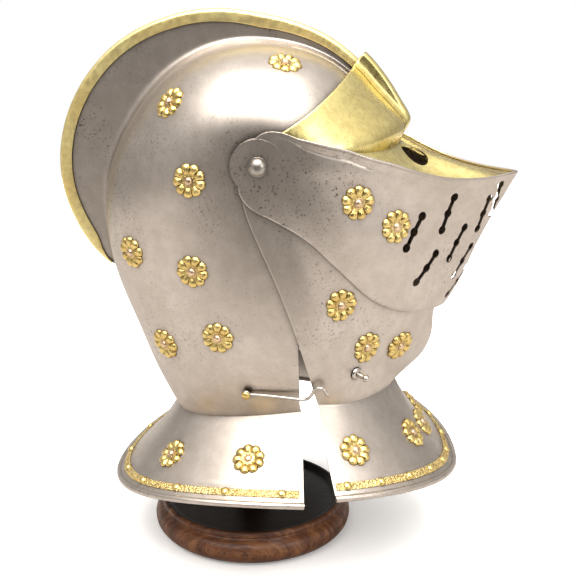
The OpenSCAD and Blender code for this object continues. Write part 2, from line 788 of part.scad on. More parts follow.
module stand_head() {
    color(wood)
        translate([0, 0, head_top - 24 + hair])
            intersection() {
                translate([8, 0, -36])
                    sphere(r = 58, $fn = 64);
                translate([8, 0, 0])
                    cylinder(r = 30, h = 40, $fn = 64);
            }
}
module stand_pad() {
    color(felt)
        translate([8, 0, head_top - 24 - 36 + 2 * hair])
            intersection() {
                difference() {
                    sphere(r = 60, $fn = 64);
                    sphere(r = 58 + hair, $fn = 64);
                }
                translate([0, 0, 46])
                    cylinder(r = 30, h = 40, $fn = 64);
            }
}

stand_base();
stand_felt();
stand_screw();
stand_post();
stand_head();
stand_pad();
skull_right();
skull_left();
comb_trim();
skull_rosettes();
skull_rosette_rivets();
rear_gorget();
rear_gorget_band();
rear_band_rivets();
rear_gorget_rosettes();
rear_gorget_rosette_rivets();
lining_band();
lining_rivets();
pivot_rivet_right();
pivot_rivet_left();
pivot_washers();
pivot_nuts();
hook_rivet();
latch_hook();
bevor();
bevor_rosettes();
bevor_rosette_rivets();
latch_collar();
latch_peg();
front_gorget();
front_gorget_band();
front_band_rivets();
front_gorget_rosettes();
front_gorget_rosette_rivets();
ventail();
ventail_rosettes();
ventail_rosette_rivets();
visor();
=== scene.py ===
# Close helmet on a turned stand: the looks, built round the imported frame.
import json
import math

import bmesh
import bpy
import numpy as np
from mathutils import Matrix, Vector


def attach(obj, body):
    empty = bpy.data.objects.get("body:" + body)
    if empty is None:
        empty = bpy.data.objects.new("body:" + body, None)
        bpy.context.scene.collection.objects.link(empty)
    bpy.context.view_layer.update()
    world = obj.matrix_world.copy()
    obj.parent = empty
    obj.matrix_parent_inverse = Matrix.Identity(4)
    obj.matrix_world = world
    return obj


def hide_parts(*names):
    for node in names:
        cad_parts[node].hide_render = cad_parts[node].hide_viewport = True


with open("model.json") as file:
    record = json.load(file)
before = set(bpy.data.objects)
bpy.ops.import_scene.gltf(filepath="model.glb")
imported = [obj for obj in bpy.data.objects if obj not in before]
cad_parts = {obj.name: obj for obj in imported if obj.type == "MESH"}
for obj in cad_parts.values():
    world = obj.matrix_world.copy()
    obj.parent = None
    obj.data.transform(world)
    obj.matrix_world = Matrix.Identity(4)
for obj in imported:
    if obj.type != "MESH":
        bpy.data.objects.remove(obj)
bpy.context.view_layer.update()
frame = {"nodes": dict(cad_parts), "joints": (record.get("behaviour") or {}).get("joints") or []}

MM = 0.001
WELD = 2e-5          # metres within which mirrored halves are joined at the middle plane
FINE = 1.0   # share of the full mesh density
JOINTS = {joint["name"]: joint for joint in frame["joints"]}
PIVOT = [c / MM for c in JOINTS["bevor_hinge"]["pos_m"]]
PIVOT_X, PIVOT_Z = PIVOT[0], PIVOT[2]
HOOK_AT = Vector([c / MM for c in JOINTS["hook_hinge"]["pos_m"]])
HOOK_AXIS = Vector(JOINTS["hook_hinge"]["axis"]).normalized()

# ---------------------------------------------------------------- sizes, in millimetres
SHEET = 1.2          # thickness of every plate
SKULL_W, BEVOR_W, VISOR_W, VENTAIL_W = 93.0, 95.2, 96.9, 98.6      # half widths outside, at the pivots
FLAT_R = 17.0        # flat zone round each pivot
INNER_R = 10.0       # where the plates' rays start
BOSS_R = 19.0        # round end of a plate's arm
RIVET_HOLE = 4.45
RIM_A, RIM_B, RIM_X = 121.5, 124.0, 15.5      # collar's rim: half length, half width and middle
REST_OPEN = 5.5      # degrees that the collar's front half is turned open at rest
ROSETTE_R = 12.2
PETALS = 9
STAND_R = 80.0
STAND_H = 28.0
SHARP = 32           # degrees between faces from which an edge stays sharp
BOWL_POWER = 2.2     # roundness of the skull and the bevor seen along the pivots

# Outlines, as (angle about the pivot, radius) or (radius, angle); 0 is forward and 90 is up
BOWL = [(10, 93), (28, 81), (50, 75.5), (90, 74.5), (130, 85.5), (166, 104), (193, 129),
        (217, 154), (233, 176), (245, 206), (256, 240), (268, 260), (285, 268)]
CREST = [(14, 91), (46, 88), (65, 88.6), (83, 91.2), (100, 97.5), (128, 119), (153, 143),
         (175, 161), (190, 168.3), (203, 168.3), (213, 165), (222, 158)]
CHIN = [(-90, 275), (-80, 262), (-75, 248), (-71, 236), (-67, 222), (-63, 209), (-59.8, 205),
        (-54.6, 200), (-50.5, 192), (-46, 178), (-40, 170), (-34, 166)]
PROW = [(-52, 184), (-42, 179), (-34, 174.5), (-26, 170.8), (-17, 172.5), (-11, 177), (-4, 184)]
VENTAIL_RIM = [(10, 120), (22.6, 80), (33.3, 32.7), (61.5, 8), (95, -2.6), (124, -6.8),
               (154, -7.4), (184, -6)]
VENTAIL_LOW = [(10, -150), (20, -130), (26, -110), (36, -77), (55, -58.8), (83, -53.8),
               (124, -52), (149, -48.8), (179, -42.5)]
BROW = [(-4, 91), (2, 94), (6, 97), (11, 99), (20, 92), (30, 86.5), (45, 84)]
RIDGE = [(-4, 91.2), (2, 94.2), (6, 97.6), (9, 101.6), (12, 103.2), (20, 99.6), (31, 97),
         (45, 95.6)]
VISOR_LOW = [(10, -118), (17, -56), (23, -20), (32, -12), (40, -8), (60, -4), (80, -1), (104, -1)]
FACE_EDGE = [(20, 2), (40, 12), (70, 19), (97, 24), (134, 26), (190, 26)]
BROW_EDGE = 30.0     # angle of the skull's edge over the face
NAPE_A, NECK_A = 249.2, 278.5       # where the neck line starts at the nape and ends at the side
CHIN_REAR, THROAT_A = 77.2, 62.8    # the same for the bevor, below forward
NECK_LINE = (-58, 111.5, 0.175)     # lower ends of the skull and the bevor: x, z and slope
THROAT_LINE = (66, 137, -0.125)
FAR = 999.0          # beyond any plate


# ---------------------------------------------------------------- curves
def smooth(a, b, x):
    """0 up to a and 1 from b on, with a soft step between."""
    t = np.clip((x - a) / (b - a), 0, 1)
    return t * t * (3 - 2 * t)


def mix(a, b, t):
    return a + (b - a) * t


def curve(points, x):
    """Smooth curve through (place, value) points, read at x."""
    px = np.array([p[0] for p in points], float)
    py = np.array([p[1] for p in points], float)
    slope = np.empty_like(px)
    slope[1:-1] = (py[2:] - py[:-2]) / (px[2:] - px[:-2])
    slope[0] = (py[1] - py[0]) / (px[1] - px[0])
    slope[-1] = (py[-1] - py[-2]) / (px[-1] - px[-2])
    x = np.clip(np.asarray(x, float), px[0], px[-1])
    i = np.clip(np.searchsorted(px, x, side="right") - 1, 0, len(px) - 2)
    h = px[i + 1] - px[i]
    t = (x - px[i]) / h
    return (py[i] * (2 * t**3 - 3 * t**2 + 1) + py[i + 1] * (3 * t**2 - 2 * t**3)
            + h * slope[i] * (t**3 - 2 * t**2 + t) + h * slope[i + 1] * (t**3 - t**2))


def polar(a, r, y):
    """Points at angle a and distance r from the pivot, y from the middle plane."""
    a, r, y = np.broadcast_arrays(np.asarray(a, float), r, y)
    a = np.radians(a)
    return np.stack([PIVOT_X + r * np.cos(a), y, PIVOT_Z + r * np.sin(a)], -1)


def fall(r, edge, n, m):
    """Share of its half width that a plate has left at r: 1 in the flat zone, 0 at the edge."""
    q = np.maximum(0, r - FLAT_R) / (edge - FLAT_R)
    return np.maximum(0, 1 - q**n)**m


# ---------------------------------------------------------------- half widths of the plates
# t is how far inside the plate's outer face the answer lies
def bowl_r(a, t=0.0):
    return curve(BOWL, a) - t


def skull_y(a, r, t=0.0):
    return (SKULL_W - t) * fall(r, bowl_r(a, t), BOWL_POWER, 1 / BOWL_POWER)


def bevor_y(a, r, t=0.0):
    n = mix(2.6, BOWL_POWER, smooth(-74, -58, a))
    m = mix(1 / BOWL_POWER, 0.85, smooth(-76, -50, a))
    return (BEVOR_W - t) * fall(r, curve(CHIN, a) - t, n, m)


def ventail_y(a, r, t=0.0):
    k = smooth(-50, -8, a)
    return (VENTAIL_W - t) * fall(r, curve(PROW, a) - t, 2.1 - 0.4 * k, 0.66 + 0.26 * k)


def visor_y(a, r, t=0.0):
    return (VISOR_W - t) * fall(r, curve(BROW, a) - t, 2.0, 0.5)


def line_r(a, x, z, s):
    """Distance from the pivot, at angle a, of the line through (x, z) with slope s."""
    a = np.radians(a)
    return (z + s * (PIVOT_X - x) - PIVOT_Z) / (np.sin(a) - s * np.cos(a))


# ---------------------------------------------------------------- mesh helpers
def shade(mesh, angle=SHARP):
    mesh.shade_smooth()
    mesh.set_sharp_from_angle(angle=math.radians(angle))


def link(name, mesh, material=None, angle=SHARP):
    obj = bpy.data.objects.new(name, mesh)
    bpy.context.scene.collection.objects.link(obj)
    shade(mesh, angle)
    if material:
        mesh.materials.append(material)
    return obj


def mesh_of(points, faces, weld=0.0):
    """Mesh from points in millimetres, with its normals made to face outwards. Points within weld
    metres of the middle plane and of each other become one."""
    mesh = bpy.data.meshes.new("part")
    mesh.from_pydata((np.asarray(points) * MM).tolist(), [], faces)
    bm = bmesh.new()
    bm.from_mesh(mesh)
    near = [v for v in bm.verts if abs(v.co.y) < weld]
    bmesh.ops.remove_doubles(bm, verts=near, dist=weld)
    bmesh.ops.recalc_face_normals(bm, faces=bm.faces)
    bm.to_mesh(mesh)
    bm.free()
    return mesh


def applied(obj):
    """obj with its modifiers applied."""
    graph = bpy.context.evaluated_depsgraph_get()
    mesh = bpy.data.meshes.new_from_object(obj.evaluated_get(graph))
    obj.modifiers.clear()
    old = obj.data
    obj.data = mesh
    bpy.data.meshes.remove(old)
    return obj


def boolean(obj, other, how):
    """obj joined with or cut by other, which is used up."""
    modifier = obj.modifiers.new("cut", "BOOLEAN")
    modifier.operation = how
    modifier.solver = "EXACT"
    modifier.object = other
    applied(obj)
    bpy.data.objects.remove(other)
    return obj


def count(n):
    """n steps, at the mesh density in use."""
    return max(4, int(round(n * FINE)))


def border(outer, inner, beyond, bead):
    """Points that carry the sheet round its edge: a half round, or a rolled bead."""
    middle = (outer + inner) / 2
    half = (outer - inner) / 2
    thick = np.linalg.norm(half, axis=-1, keepdims=True)
    out = outer - beyond
    out -= half / thick * np.sum(out * half / thick, -1, keepdims=True)
    out /= np.maximum(np.linalg.norm(out, axis=-1, keepdims=True), 1e-9)
    if not np.any(bead):
        turns = np.radians([35, 70, 110, 145])
        return [middle + half * math.cos(q) + out * thick * math.sin(q) for q in turns]
    bead = np.broadcast_to(bead, len(outer))[:, None]
    start = np.arcsin(np.minimum(0.99, thick.mean() / bead))
    centre = middle + out * bead * np.cos(start)
    turns = [mix(start, 2 * math.pi - start, k / 16) for k in range(1, 16)]
    return [centre + bead * (half / thick * np.sin(q) - out * np.cos(q)) for q in turns]


def quads(rows, cols, round_rows=True, round_cols=True, first=0):
    """Faces of a grid of points that starts at point first. Its last row is joined to its first one,
    and its last column too, unless told otherwise."""
    faces = []
    for i in range(rows if round_rows else rows - 1):
        a, b = first + i * cols, first + (i + 1) % rows * cols
        for j in range(cols if round_cols else cols - 1):
            k = (j + 1) % cols
            faces.append((a + j, b + j, b + k, a + k))
    return faces


def plate(outer, inner, welded=None, bead=0):
    """Closed sheet from two grids (rows, columns, 3). Its first and last rows get rounded borders,
    the last one with a rolled bead where bead is its radius. welded tells the rows whose last column
    meets its mirror image, so gets no wall."""
    rows, cols = outer.shape[:2]
    high = border(outer[-1], inner[-1], outer[-2], bead)
    low = border(outer[0], inner[0], outer[1], 0)
    rings = [*outer, *high, *inner[::-1], *low[::-1]]
    back = 2 * rows + len(high) - 1      # ring back - i is row i of the inner grid
    faces = quads(len(rings), cols, round_cols=False)
    for j in (0, cols - 1):
        walled = np.ones(rows, bool) if j == 0 or welded is None else ~welded
        loops = [(i, i + 1, back - i - 1, back - i) for i in range(rows - 1) if walled[i] or walled[i + 1]]
        if walled[-1]:
            loops.append(range(rows - 1, rows + len(high) + 1))
        if walled[0]:
            loops.append([*range(back, len(rings)), 0])
        faces += [tuple(k * cols + j for k in loop) for loop in loops]
    return np.concatenate(rings), faces


def mirrored(points, faces):
    """The right half and its mirror image, welded along the middle plane."""
    n = len(points)
    both = np.concatenate([points, points * [1, -1, 1]])
    return mesh_of(both, faces + [tuple(n + v for v in reversed(face)) for face in faces], WELD)


def ring_mesh(profile, segments):
    """Closed solid of revolution about Z from a closed (radius, height) profile."""
    k = len(profile)
    turn = np.linspace(0, 2 * math.pi, segments, endpoint=False)[:, None]
    radius, height = np.array(profile, float).T
    points = np.stack([radius * np.cos(turn), radius * np.sin(turn),
                       np.broadcast_to(height, (segments, k))], -1).reshape(-1, 3)
    return points, quads(segments, k)


def lathe(profile, segments):
    """Solid of revolution whose profile starts and ends on the axis."""
    turn = np.linspace(0, 2 * math.pi, segments, endpoint=False)
    inside = profile[1:-1]
    k = len(inside)
    points = [(0, 0, profile[0][1]), (0, 0, profile[-1][1])]
    points += [(r * math.cos(q), r * math.sin(q), z) for q in turn for r, z in inside]
    faces = quads(segments, k, round_cols=False, first=2)
    for i in range(segments):
        a, b = 2 + i * k, 2 + (i + 1) % segments * k
        faces += [(0, b, a), (1, a + k - 1, b + k - 1)]
    return np.array(points, float), faces


def arc(cx, cz, r, a0, a1, n):
    """Points of an arc in a (radius, height) profile."""
    turns = [math.radians(mix(a0, a1, k / n)) for k in range(n + 1)]
    return [(cx + r * math.cos(q), cz + r * math.sin(q)) for q in turns]


def crown(radius, height, z, angles):
    """Profile of a rivet's domed top over z, up to the axis."""
    turns = [math.radians(q) for q in angles]
    return [(radius * math.cos(q), z + height * math.sin(q)) for q in turns] + [(0, z + height)]


def tube(path, radius, sides):
    """Round tube along a path of points, with domed ends."""
    tangent = np.gradient(path, axis=0)
    tangent /= np.linalg.norm(tangent, axis=1, keepdims=True)
    dome_turns = np.array([0.45, 0.9, 1.35])
    reach = radius * np.sin(dome_turns)[:, None]
    small = radius * np.cos(dome_turns)
    radii = np.concatenate([small[::-1], np.full(len(path), radius), small])
    path = np.concatenate([path[0] - tangent[0] * reach[::-1], path, path[-1] + tangent[-1] * reach])
    tangent = np.concatenate([[tangent[0]] * 3, tangent, [tangent[-1]] * 3])
    side = np.cross(tangent[0], [0.31, 0.9, 0.27])
    points = []
    for p, d, r in zip(path, tangent, radii):
        side = side - d * np.dot(side, d)
        side /= np.linalg.norm(side)
        up = np.cross(d, side)
        for k in range(sides):
            q = 2 * math.pi * k / sides
            points.append(p + r * (side * math.cos(q) + up * math.sin(q)))
    n = len(path)
    ends = [tuple(range(sides))[::-1], tuple((n - 1) * sides + k for k in range(sides))]
    return np.array(points), ends + quads(n, sides, round_rows=False)


def joined(parts):
    """Several (points, faces) as one."""
    points, faces, start = [], [], 0
    for p, f in parts:
        points.append(np.asarray(p, float))
        faces += [tuple(start + v for v in face) for face in f]
        start += len(p)
    return np.concatenate(points), faces


def boss(width, radius):
    """Round end of a plate's arm on the right side, with the rivet's hole through it."""
    proud, chamfer = 0.004, 0.12
    half = SHEET / 2 + proud
    profile = [(RIVET_HOLE, -half), (radius - chamfer, -half), (radius, chamfer - half),
               (radius, half - chamfer), (radius - chamfer, half), (RIVET_HOLE, half)]
    points, faces = ring_mesh(profile, count(96))
    placed = np.stack([PIVOT_X + points[:, 0], -(width - SHEET / 2) + points[:, 2],
                       PIVOT_Z + points[:, 1]], -1)
    return placed, faces


def with_bosses(obj, width, radius, sides=(1, -1)):
    points, faces = boss(width, radius)
    for side in sides:
        boolean(obj, link("boss", mesh_of(points * [1, side, 1], faces)), "UNION")
    shade(obj.data)
    return obj


# ---------------------------------------------------------------- materials
class Wiring:
    """Helpers that add nodes to a node tree and wire them up."""

    def __init__(self, tree):
        self.nodes = tree.nodes
        self.links = tree.links

    def add(self, kind, **values):
        """A node with its inputs or its settings given by name."""
        node = self.nodes.new("ShaderNode" + kind)
        for key, value in values.items():
            if key in node.inputs:
                node.inputs[key].default_value = value
            else:
                setattr(node, key, value)
        return node

    def wire(self, value, socket):
        """Feed a socket from another socket, a colour or a number."""
        if isinstance(value, bpy.types.NodeSocket):
            self.links.new(value, socket)
        else:
            socket.default_value = (*value, 1) if isinstance(value, tuple) else value

    def ramp(self, value, stops):
        """value turned into the colours or greys of stops, (place, colour)."""
        node = self.add("ValToRGB")
        while len(node.color_ramp.elements) < len(stops):
            node.color_ramp.elements.new(0.5)
        for element, (at, colour) in zip(node.color_ramp.elements, stops):
            element.position = at
            element.color = (*colour, 1) if isinstance(colour, tuple) else (colour, colour, colour, 1)
        self.wire(value, node.inputs["Fac"])
        return node.outputs["Color"]

    def blend(self, fac, a, b, how="MIX"):
        node = self.add("Mix", data_type="RGBA", blend_type=how)
        for index, value in ((0, fac), (6, a), (7, b)):
            self.wire(value, node.inputs[index])
        return node.outputs[2]

    def calc(self, how, a, b):
        node = self.add("Math", operation=how)
        self.wire(a, node.inputs[0])
        self.wire(b, node.inputs[1])
        return node.outputs[0]

    def measure(self, how, vector, other=(0, 0, 0)):
        """A number worked out from two vectors."""
        node = self.add("VectorMath", operation=how)
        self.wire(vector, node.inputs[0])
        node.inputs[1].default_value = other
        return node.outputs["Value"]

    def parts(self, vector):
        """X, Y and Z of a vector, by name."""
        node = self.add("SeparateXYZ")
        self.wire(vector, node.inputs["Vector"])
        return node.outputs

    def to_camera(self):
        """1 for what the camera sees directly, 0 for what light and reflections see."""
        return self.add("LightPath").outputs["Is Camera Ray"]


class Paint(Wiring):
    """A node material in the making, in object coordinates (metres)."""

    def __init__(self, name, metallic, rough):
        self.material = bpy.data.materials.new(name)
        self.material.use_nodes = True
        super().__init__(self.material.node_tree)
        self.body = self.nodes["Principled BSDF"]
        self.body.inputs["Metallic"].default_value = metallic
        self.body.inputs["Roughness"].default_value = rough
        self.place = self.add("TexCoord").outputs["Object"]

    def stretched(self, *scale):
        node = self.add("Mapping", Scale=scale)
        self.wire(self.place, node.inputs["Vector"])
        return node.outputs["Vector"]

    def noise(self, scale, detail=4.0, rough=0.55, at=None):
        node = self.add("TexNoise", Scale=scale, Detail=detail, Roughness=rough)
        self.wire(at or self.place, node.inputs["Vector"])
        return node.outputs["Fac"]

    def cells(self, scale):
        node = self.add("TexVoronoi", Scale=scale)
        self.wire(self.place, node.inputs["Vector"])
        return node.outputs["Distance"]

    def creases(self, low, high):
        """1 in concave creases, 0 elsewhere; low and high are limits of pointiness."""
        return self.ramp(self.add("NewGeometry").outputs["Pointiness"], [(low, 1.0), (high, 0.0)])

    def hollows(self, reach):
        """1 in the open, 0 deep in a hollow, within reach metres."""
        return self.add("AmbientOcclusion", Distance=reach, samples=6).outputs["AO"]

    def finish(self, colour, rough=None, bumps=(), **more):
        """The material, with its colour, its roughness and bumps of (height, strength, distance)."""
        self.wire(colour, self.body.inputs["Base Color"])
        if rough is not None:
            self.wire(rough, self.body.inputs["Roughness"])
        last = None
        for height, strength, distance in bumps:
            node = self.add("Bump", Strength=strength, Distance=distance)
            self.wire(height, node.inputs["Height"])
            if last is not None:
                self.wire(last, node.inputs["Normal"])
            last = node.outputs["Normal"]
            self.wire(last, self.body.inputs["Normal"])
        for key, value in more.items():
            self.body.inputs[key.replace("_", " ")].default_value = value
        return self.material


HOLLOW_SHADE = 0.85          # how much of the metal's colour the painted shade takes away deep in a hollow
# The last colour here is the painted shade deep in hollows; tarnish and pits are the steel's own colours.
TARNISH, PIT, HOLLOW_SHADE_COLOUR = (0.34, 0.29, 0.24), (0.07, 0.055, 0.045), (0.04, 0.032, 0.026)


def steel(name, light, dark, rough_low, rough_high, pits=1.0):
    """Old polished steel: cloudy, finely scratched, with patches of small dark pits, and painted shade in
    its hollows.
    """
    p = Paint(name, 1.0, 0.3)
    cloud = p.noise(14, 5, 0.6)
    mottle = p.noise(90, 6, 0.65)
    colour = p.blend(p.ramp(cloud, [(0.35, 0.0), (0.7, 1.0)]), light, dark)
    colour = p.blend(p.ramp(mottle, [(0.42, 0.22), (0.62, 0.0)]), colour, TARNISH)
    area = p.ramp(p.noise(11, 2, 0.5), [(0.46, 0.0), (0.62, 1.0)])
    speck = p.ramp(p.noise(520, 3, 0.75), [(0.33, 1.0), (0.42, 0.0)])
    spots = p.calc("MULTIPLY", p.calc("MULTIPLY", area, speck), pits)
    fine = p.ramp(p.noise(800, 2, 0.7), [(0.29, 1.0), (0.35, 0.0)])
    spots = p.calc("MAXIMUM", spots, p.calc("MULTIPLY", fine, 0.5 * pits))
    colour = p.blend(spots, colour, PIT)
    # Painted shade: the steel darkens where ambient occlusion finds a hollow, such as the gaps between
    # stacked plates.
    hollow_shade = p.ramp(p.hollows(0.007), [(0.45, 1.0), (0.96, 0.0)])
    colour = p.blend(p.calc("MULTIPLY", hollow_shade, HOLLOW_SHADE), colour, HOLLOW_SHADE_COLOUR)
    scratch = p.noise(60, 3, 0.6, p.stretched(1, 12, 30))
    rough = p.ramp(p.calc("ADD", mottle, scratch), [(0.35, rough_low), (0.75, rough_high)])
    hammered = p.noise(26, 2, 0.5)
    return p.finish(colour, rough, [(hammered, 0.10, 0.0020), (mottle, 0.10, 0.0002),
                                    (scratch, 0.06, 0.0001), (spots, -0.35, 0.0002)])


def brass(name, light, dark, stain, rough_low, rough_high, grain=0.2, reach=0.003):
    """Brass with stained patches, and painted shade in its creases and within reach metres of a hollow's
    bottom.
    """
    p = Paint(name, 1.0, 0.3)
    cloud = p.noise(30, 5, 0.62)
    mottle = p.noise(220, 5, 0.7)
    colour = p.blend(p.ramp(cloud, [(0.36, 0.0), (0.66, 1.0)]), light, dark)
    colour = p.blend(p.ramp(mottle, [(0.40, 0.35), (0.58, 0.0)]), colour, stain)
    # Painted shade: hollows and concave creases darken towards a deep tone of the stain colour.
    hollow_shade = p.ramp(p.hollows(reach), [(0.52, 1.0), (0.96, 0.0)])
    hollow_shade = p.calc("MAXIMUM", hollow_shade, p.creases(0.42, 0.49))
    colour = p.blend(p.calc("MULTIPLY", hollow_shade, HOLLOW_SHADE), colour, tuple(0.16 * c for c in stain))
    rough = p.ramp(mottle, [(0.35, rough_low), (0.7, rough_high)])
    return p.finish(colour, rough, [(cloud, 0.12, 0.0012), (mottle, grain, 0.00025)])


def pebbled_brass():
    """Brass strip stamped with fine bumps, dark between them."""
    p = Paint("embossed_brass", 1.0, 0.35)
    pebble = p.cells(640)
    cloud = p.noise(60, 4, 0.6)
    colour = p.blend(p.ramp(cloud, [(0.35, 0.0), (0.65, 1.0)]), (1.0, 0.82, 0.38), (0.85, 0.63, 0.26))
    colour = p.blend(p.ramp(pebble, [(0.42, 0.0), (0.85, 0.8)]), colour, (0.16, 0.10, 0.035))
    rough = p.ramp(pebble, [(0.2, 0.26), (0.7, 0.6)])
    height = p.ramp(pebble, [(0.1, 1.0), (0.7, 0.0)])
    return p.finish(colour, rough, [(height, 0.9, 0.0006)])


def stained_wood(name, hollow):
    """Dark varnished wood; with hollow set, painted shade, near black, covers the sunk top of the stand's
    base.
    """
    p = Paint(name, 0.0, 0.35)
    grain = p.noise(30, 8, 0.65, p.stretched(1, 7, 1.6))
    pores = p.noise(240, 3, 0.7, p.stretched(0.5, 9, 1))
    colour = p.ramp(grain, [(0.30, (0.034, 0.010, 0.004)), (0.5, (0.125, 0.045, 0.018)),
                            (0.68, (0.26, 0.110, 0.044))])
    colour = p.blend(p.ramp(pores, [(0.36, 0.75), (0.46, 0.0)]), colour, (0.012, 0.006, 0.004))
    if hollow:
        # Painted shade: the sunk top inside the rim turns near black.
        at = p.parts(p.place)
        square = p.calc("ADD", p.calc("POWER", at["X"], 2.0), p.calc("POWER", at["Y"], 2.0))
        inside = p.calc("LESS_THAN", square, ((STAND_R - 8.5) * MM) ** 2)
        top = p.calc("GREATER_THAN", at["Z"], (STAND_H - 8) * MM)
        colour = p.blend(p.calc("MULTIPLY", inside, top), colour, (0.004, 0.0022, 0.0018))
    rough = p.ramp(pores, [(0.35, 0.55), (0.6, 0.28)])
    return p.finish(colour, rough, [(grain, 0.10, 0.0004), (pores, 0.25, 0.0002)],
                    Coat_Weight=0.15, Coat_Roughness=0.25, Specular_IOR_Level=0.3)


def woollen(name, colour_a, colour_b):
    p = Paint(name, 0.0, 0.95)
    fibre = p.noise(900, 5, 0.8)
    tuft = p.noise(160, 4, 0.6)
    colour = p.blend(p.ramp(tuft, [(0.35, 0.0), (0.65, 1.0)]), colour_a, colour_b)
    colour = p.blend(p.ramp(fibre, [(0.4, 0.5), (0.6, 0.0)]), colour, tuple(c * 0.4 for c in colour_a))
    return p.finish(colour, bumps=[(fibre, 0.6, 0.0006), (tuft, 0.3, 0.001)], Sheen_Weight=0.4)


def leather():
    p = Paint("leather", 0.0, 0.5)
    grain = p.cells(900)
    fold = p.noise(70, 5, 0.6)
    colour = p.blend(p.ramp(fold, [(0.35, 0.0), (0.7, 1.0)]), (0.20, 0.095, 0.045), (0.11, 0.05, 0.025))
    colour = p.blend(p.ramp(grain, [(0.45, 0.0), (0.8, 0.6)]), colour, (0.05, 0.025, 0.012))
    rough = p.ramp(fold, [(0.3, 0.42), (0.7, 0.62)])
    return p.finish(colour, rough, [(grain, 0.35, 0.0003), (fold, 0.3, 0.001)])


STEEL = steel("polished_steel", (0.66, 0.60, 0.545), (0.56, 0.50, 0.445), 0.27, 0.36)
BRIGHT = steel("bright_steel", (0.72, 0.68, 0.63), (0.60, 0.56, 0.52), 0.16, 0.26, 0.5)
COPPER = brass("rivet_copper", (0.93, 0.72, 0.50), (0.80, 0.56, 0.36), (0.50, 0.33, 0.19), 0.24, 0.38)
RIVET = steel("rivet_steel", (0.50, 0.47, 0.43), (0.38, 0.35, 0.32), 0.22, 0.34, 0.6)
DARK = steel("dark_steel", (0.30, 0.28, 0.26), (0.18, 0.17, 0.16), 0.35, 0.5)
GOLD = brass("satin_brass", (0.98, 0.87, 0.38), (0.90, 0.75, 0.30), (0.66, 0.50, 0.20), 0.24, 0.36, 0.10)
GOLD_TRIM = brass("trim_brass", (1.0, 0.88, 0.42), (0.95, 0.76, 0.32), (0.66, 0.50, 0.22), 0.38, 0.50, 0.12)
OLD = brass("old_brass", (0.98, 0.78, 0.32), (0.84, 0.62, 0.22), (0.50, 0.33, 0.11), 0.22, 0.38, 0.35,
            0.0045)
PEBBLED = pebbled_brass()
WOOD = stained_wood("dark_wood", True)
POST_WOOD = stained_wood("post_wood", False)
FELT = woollen("felt", (0.020, 0.050, 0.032), (0.035, 0.085, 0.055))
LEATHER = leather()


def piece(obj, body, node):
    """Put a finished piece on its body, in place of the CAD node of that name."""
    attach(obj, body)
    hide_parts(node)


# ---------------------------------------------------------------- skull
KINK_Y = 9.4          # half thickness of the comb's foot, where it meets the bowl
COMB_HALF = 2.4
GROOVE = 0.55         # depth of the crease at the comb's foot
FACE_R = 184.0        # radius at which the skull's front edge meets the neck
HUB = 0.05            # share of the bowl's columns that lies in the flat zone
SWING = 85.4          # degrees of arc that the bowl's other columns are spread along
HAIR = 0.05           # half the joint between the skull halves
TRIM_GAP = 1.2        # from the comb's edge to the outside of its edging


def crest_r(a, t=0.0):
    """Radius of the skull's top: the bowl, or the comb under its edging where that is higher."""
    crest = np.where(a < CREST[-1][0], curve(CREST, a), 0) - TRIM_GAP
    return np.maximum(bowl_r(a), crest) - t


def comb_y(a, r, t):
    tall = crest_r(a) - bowl_r(a)
    reach = np.maximum(0.6, tall / 22)
    foot = (COMB_HALF + 7 * np.exp(-np.maximum(0, r - bowl_r(a)) / reach)) * smooth(0, 7, tall)
    return np.maximum(HAIR, foot - t)


def skull_grid(t, rows, bowl_cols, comb_cols):
    """Points of the right half, t inside its outer face: bowl columns, then comb columns."""
    cols = bowl_cols + comb_cols
    k = np.arange(cols + 1)[None, :]
    q = np.minimum(1, k[0] / bowl_cols)
    full = math.sin(math.radians(SWING)) ** (2 / BOWL_POWER)
    swing = np.sin(np.radians(SWING) * np.clip((q - HUB) / (1 - HUB), 0, 1)) ** (2 / BOWL_POWER)
    r_front = np.maximum(20, np.where(q < HUB, FLAT_R, FLAT_R + (FACE_R - FLAT_R) * swing))
    last = 360 - np.degrees(np.arccos(curve(FACE_EDGE, r_front) / r_front))
    a = mix(BROW_EDGE, last, np.arange(rows + 1)[:, None] / rows)
    stop = np.where(a > 235, line_r(a, *NECK_LINE), FAR)
    top = np.minimum(crest_r(a, t), stop)
    share = (1 - (KINK_Y / SKULL_W) ** BOWL_POWER) ** (1 / BOWL_POWER)
    turn = np.minimum(mix(FLAT_R, bowl_r(a, t), share), top - 6)
    in_bowl = np.where(q < HUB, mix(INNER_R, FLAT_R, q / HUB), FLAT_R + (turn - FLAT_R) / full * swing)
    w = np.clip((k - bowl_cols) / comb_cols, 0, 1)
    r = np.where(k <= bowl_cols, in_bowl, mix(turn, top, w ** 1.25))
    y = np.maximum(np.maximum(skull_y(a, r, t), comb_y(a, r, t)), HAIR)
    y = np.where((k == cols) & (top < stop), HAIR, y)
    if t == 0:
        at_foot = np.exp(-((k - bowl_cols) / 0.8) ** 2) * smooth(2, 9, crest_r(a) - bowl_r(a))
        r = r - GROOVE * at_foot
    return polar(a, r, -y)


def make_skull():
    rows, bowl_cols, comb_cols = count(150), count(44), count(22)
    outer = skull_grid(0.0, rows, bowl_cols, comb_cols)
    inner = skull_grid(SHEET, rows, bowl_cols, comb_cols)
    points, faces = plate(outer, inner)
    for side, name in ((1, "skull_right"), (-1, "skull_left")):
        half = link(name + "_plate", mesh_of(points * [1, side, 1], faces), STEEL)
        with_bosses(half, SKULL_W, BOSS_R, (side,))
        piece(half, "skull", name)


